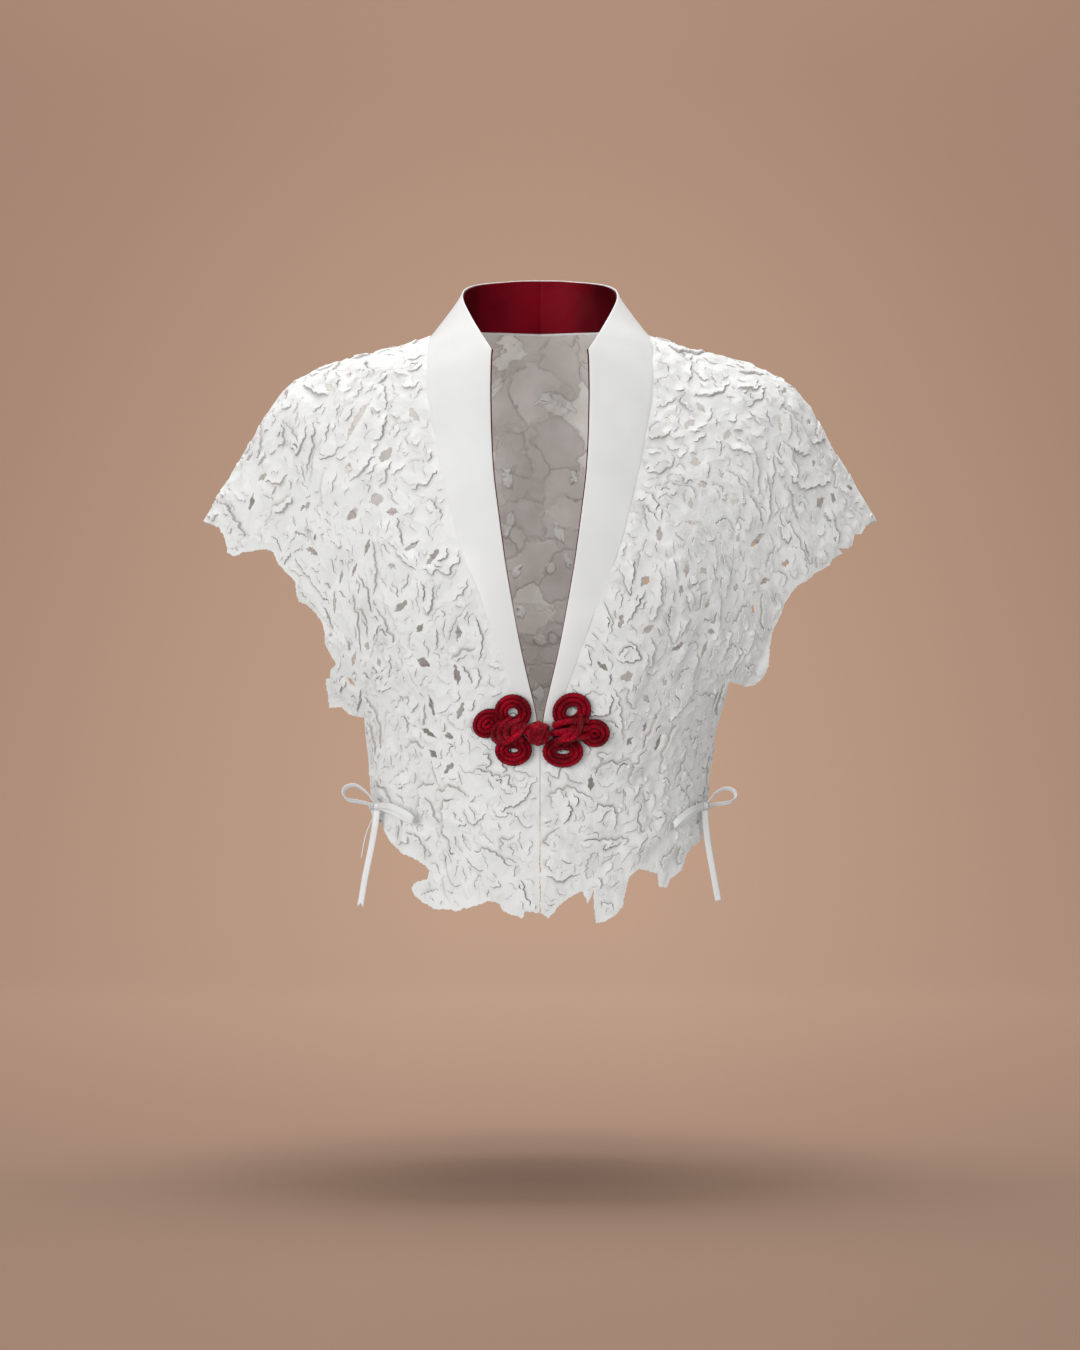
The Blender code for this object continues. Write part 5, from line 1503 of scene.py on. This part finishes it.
def lacing(side, label, x, z):
    """The ribbon from under the knot, round the side and onto the back."""
    lift = FRONT_TOP + RIBBON_THICK / 2
    start, down = spot(FRONT, x - LACING_UNDER, z)
    end = spot(BACK, x - LACING_BACK / 3, z)[0]
    steps = [(FRONT, a) for a in np.linspace(start, LACING_SIDE, LACING_POINTS)]
    steps += [(BACK, a) for a in np.linspace(LACING_SIDE, end, LACING_POINTS)]
    route = [cloth(face, a, down) + lift * outward(face, a, down) for face, a in steps]
    tape(f"tie_{label}_lacing", smooth_route(route, TAPE_STEP), (0, 0, 1), side)


def tie_knot(side, label, knot):
    """The bow's knot: a short turn of tape wrapped over a core."""
    spin = np.linspace(0, 2 * math.pi, KNOT_RINGS, endpoint=False)[:, None]
    width = np.linspace(-1, 1, KNOT_COLUMNS)
    rx, ry, rz = KNOT_RADIUS
    pinch = 1 - KNOT_PINCH * width**2
    fold = 1 + KNOT_FOLD * np.cos(3 * math.pi * width)
    ring = width * rx * KNOT_WIDE, -np.cos(spin) * ry * pinch * fold, np.sin(spin) * rz * pinch * fold
    points = np.stack(np.broadcast_arrays(*ring), axis=2).reshape(-1, 3)
    points = (knot + points) * (side, 1, 1)
    rim = range(0, KNOT_RINGS * KNOT_COLUMNS, KNOT_COLUMNS)
    faces = quads(KNOT_RINGS, KNOT_COLUMNS, along=True)[:, ::side].tolist()
    faces += [rim[::side], [i + KNOT_COLUMNS - 1 for i in rim[::-side]]]
    piece = joined(f"tie_{label}_knot_wrap", [(points, faces, points[:, [0, 2]])], LOOKS["tape"])
    keep(piece, f"tie_{label}_knot")


# ---- the stage ---------------------------------------------------------------------------------

FLOOR_Z, SWEEP = -0.73, 1.6
FLOOR_START, FLOOR_STEP, FLOOR_STEPS = -4.0, 0.4, 15  # the floor's first y, towards the camera
SWEEP_STEP, WALL_STEP, WALL_STEPS = 5, 0.5, 7  # degrees along the sweep, and metres up the wall
PAPER_HALF, PAPER_COLUMNS = 5, 11
PAPER = (0.475, 0.308, 0.222)
PAPER_FADE = 0.77  # painted shade: how much of its tone the paper keeps towards the corners of the picture, as the light falls off
NEAR_FADE = 0.735  # and, as painted shade, on the floor towards the camera
UNDER_SHADE, UNDER_REACH = 0.75, (0.38, 0.30)  # and, as a painted shadow, right under the blouse, with how far that goes
CAMERA_Y, CAMERA_Z = -2.6, -0.2965
VIEW_HEIGHT = 1.195  # metres that the picture's height covers at the origin
SENSOR = 36.0
SKY, SKY_POWER = (1.0, 0.995, 0.985), 0.44
INSIDE = ((-0.125, 0.165), (0.125, 0.115))  # x and power of small lamps that light the inner side
INSIDE_Z, INSIDE_SIZE = -0.08, 0.04


def paper_material():
    """Warm paper with painted shade towards the picture's corners and the camera, and a painted shadow
    under the blouse.
    """
    m = Nodes("backdrop_paper", PAPER, 0.95, 0.1)
    # painted shade: the light's fall-off towards the picture's corners
    spread = m.add("Mapping", m.place, Location=(0, 0, 0.311), Scale=(0.69, 0, 0.42))[0]
    away = m.add("VectorMath", spread, operation="LENGTH")["Value"]
    tone = m.ramp(away, (0.10, PAPER), (0.80, toned(PAPER, PAPER_FADE)))
    # painted shade on the floor, darker towards the camera
    near = m.add("MapRange", m.add("SeparateXYZ", m.place)["Y"], -0.1, 1.3, NEAR_FADE, 1.0)[0]
    # a painted shadow right under the blouse
    below = m.add("Mapping", m.place, Scale=(1 / UNDER_REACH[0], 1 / UNDER_REACH[1], 0))[0]
    from_under = m.add("VectorMath", below, operation="LENGTH")["Value"]
    painted_under_shadow = m.ramp(from_under, (0.0, UNDER_SHADE), (1.0, 1))
    painted_under_shadow.node.color_ramp.interpolation = "EASE"
    for mask in (near, painted_under_shadow):
        tone = m.add("VectorMath", tone, operation="SCALE", Scale=mask)[0]
    return m.finish(tone, m.bumps((m.noise(240.0, 3.0), 0.0006, 0.3)))


def stage():
    """A plain seamless paper: a floor that sweeps up into a wall."""
    profile = [(FLOOR_START + i * FLOOR_STEP, FLOOR_Z) for i in range(FLOOR_STEPS)]
    turn_y = profile[-1][0]
    for degrees in range(SWEEP_STEP, 91, SWEEP_STEP):
        turn = math.radians(degrees)
        profile.append((turn_y + SWEEP * math.sin(turn), FLOOR_Z + SWEEP * (1 - math.cos(turn))))
    profile += [(turn_y + SWEEP, FLOOR_Z + SWEEP + WALL_STEP * (i + 1)) for i in range(WALL_STEPS)]
    columns = np.linspace(-PAPER_HALF, PAPER_HALF, PAPER_COLUMNS)
    points = [(x, y, z) for y, z in profile for x in columns]
    backdrop = add_mesh("backdrop", points, quads(len(profile), len(columns)), paper_material())
    backdrop.visible_diffuse = False  # its warm tone is kept off the white cloth


def lamp(name, place, aim, size, power, colour=(1, 1, 1)):
    """A soft square light."""
    data = bpy.data.lights.new(name, "AREA")
    data.shape = "SQUARE"
    data.size = size
    data.energy = power
    data.color = colour
    way = Vector(aim) - Vector(place)
    placed(name, data, place).rotation_euler = way.to_track_quat("-Z", "Y").to_euler()


def camera_and_light():
    """The camera straight in front, a pale sky, four soft lamps, and two small ones inside."""
    data = bpy.data.cameras.new("camera")
    data.sensor_width = SENSOR
    data.lens = SENSOR * -CAMERA_Y / VIEW_HEIGHT
    camera = placed("camera", data, (0, CAMERA_Y, CAMERA_Z))
    camera.rotation_euler = (math.pi / 2, 0, 0)
    bpy.context.scene.camera = camera
    world = bpy.data.worlds.new("studio")
    world.use_nodes = True
    sky = world.node_tree.nodes["Background"]
    sky.inputs["Color"].default_value = (*SKY, 1)
    sky.inputs["Strength"].default_value = SKY_POWER
    bpy.context.scene.world = world
    bpy.context.scene.view_settings.view_transform = "Standard"
    lamp("key", (-1.6, -2.4, -0.02), (0, 0, -0.3), 1.6, 40, (1, 0.995, 0.985))
    lamp("fill", (1.6, -2.6, -0.2), (0, 0, -0.3), 1.8, 11, (1, 0.985, 0.965))
    lamp("top", (0.0, 0.15, 1.9), (0, 0.02, -0.2), 0.9, 16)
    lamp("wall", (0.0, 1.2, 3.0), (0, 3.2, -0.4), 2.4, 78)
    for x, power in INSIDE:
        data = bpy.data.lights.new("inside", "POINT")
        data.shadow_soft_size = INSIDE_SIZE
        data.energy = power
        placed("inside", data, (x, 0.0, INSIDE_Z)).visible_camera = False


# ---- the whole blouse --------------------------------------------------------------------------

LOOKS = {
    # the second colour is the painted shade of the cracks and of the lips' feet
    "lace": lace_material("lace_petals", (0.85, 0.85, 0.84), (0.56, 0.54, 0.52)),
    # painted shade: the inner side is the same white lace, given a darker, warmer tint for the shade
    # inside the blouse
    "inner": ground_material("lace_inner_side_painted_shade", (0.73, 0.70, 0.68)),
    "leaf": ground_material("lace_leaves", (0.87, 0.865, 0.855)),
    "satin": satin_material("white_satin", (0.83, 0.83, 0.83)),
    # the lining's last number gives it painted shade towards its ends
    "lining": satin_material("crimson_satin", (0.195, 0.0008, 0.009), 2400.0, 0.50, 0.0110, 0.05, 0.42),
    "cord": cord_material("crimson_cord", (0.50, 0.0010, 0.018)),
    "tape": satin_material("white_tape", (0.84, 0.84, 0.845), 5200.0, 0.4, 0.0003),
}
# Each panel's outline and seed, then its cut: the width and length of cloth it takes, and its own
# flat area.
PANELS = (
    ("front_right", FRONT, RIGHT, front_outline(RIGHT), 11, (0.335, 0.53), 0.108),
    ("front_left", FRONT, LEFT, front_outline(LEFT), 12, (0.335, 0.53), 0.108),
    ("back", BACK, LEFT, back_outline(), 13, (0.66, 0.50), 0.215),
)
BANDS = (("collar", False, (0.066, 0.550), 0.0215), ("collar_lining", True, (0.065, 0.549), 0.0203))

camera_and_light()
stage()
for node, face, side, outline, seed, cut, area in PANELS:
    panel, backing = lace_panel(node, face, side, outline, seed)
for side, label in ((RIGHT, "right"), (LEFT, "left")):
    bands = [band_half(f"{kind}_{label}", side, lining) for kind, lining, _, _ in BANDS]
    frog_half(side, label)
    tie(side, label)
frog_button()
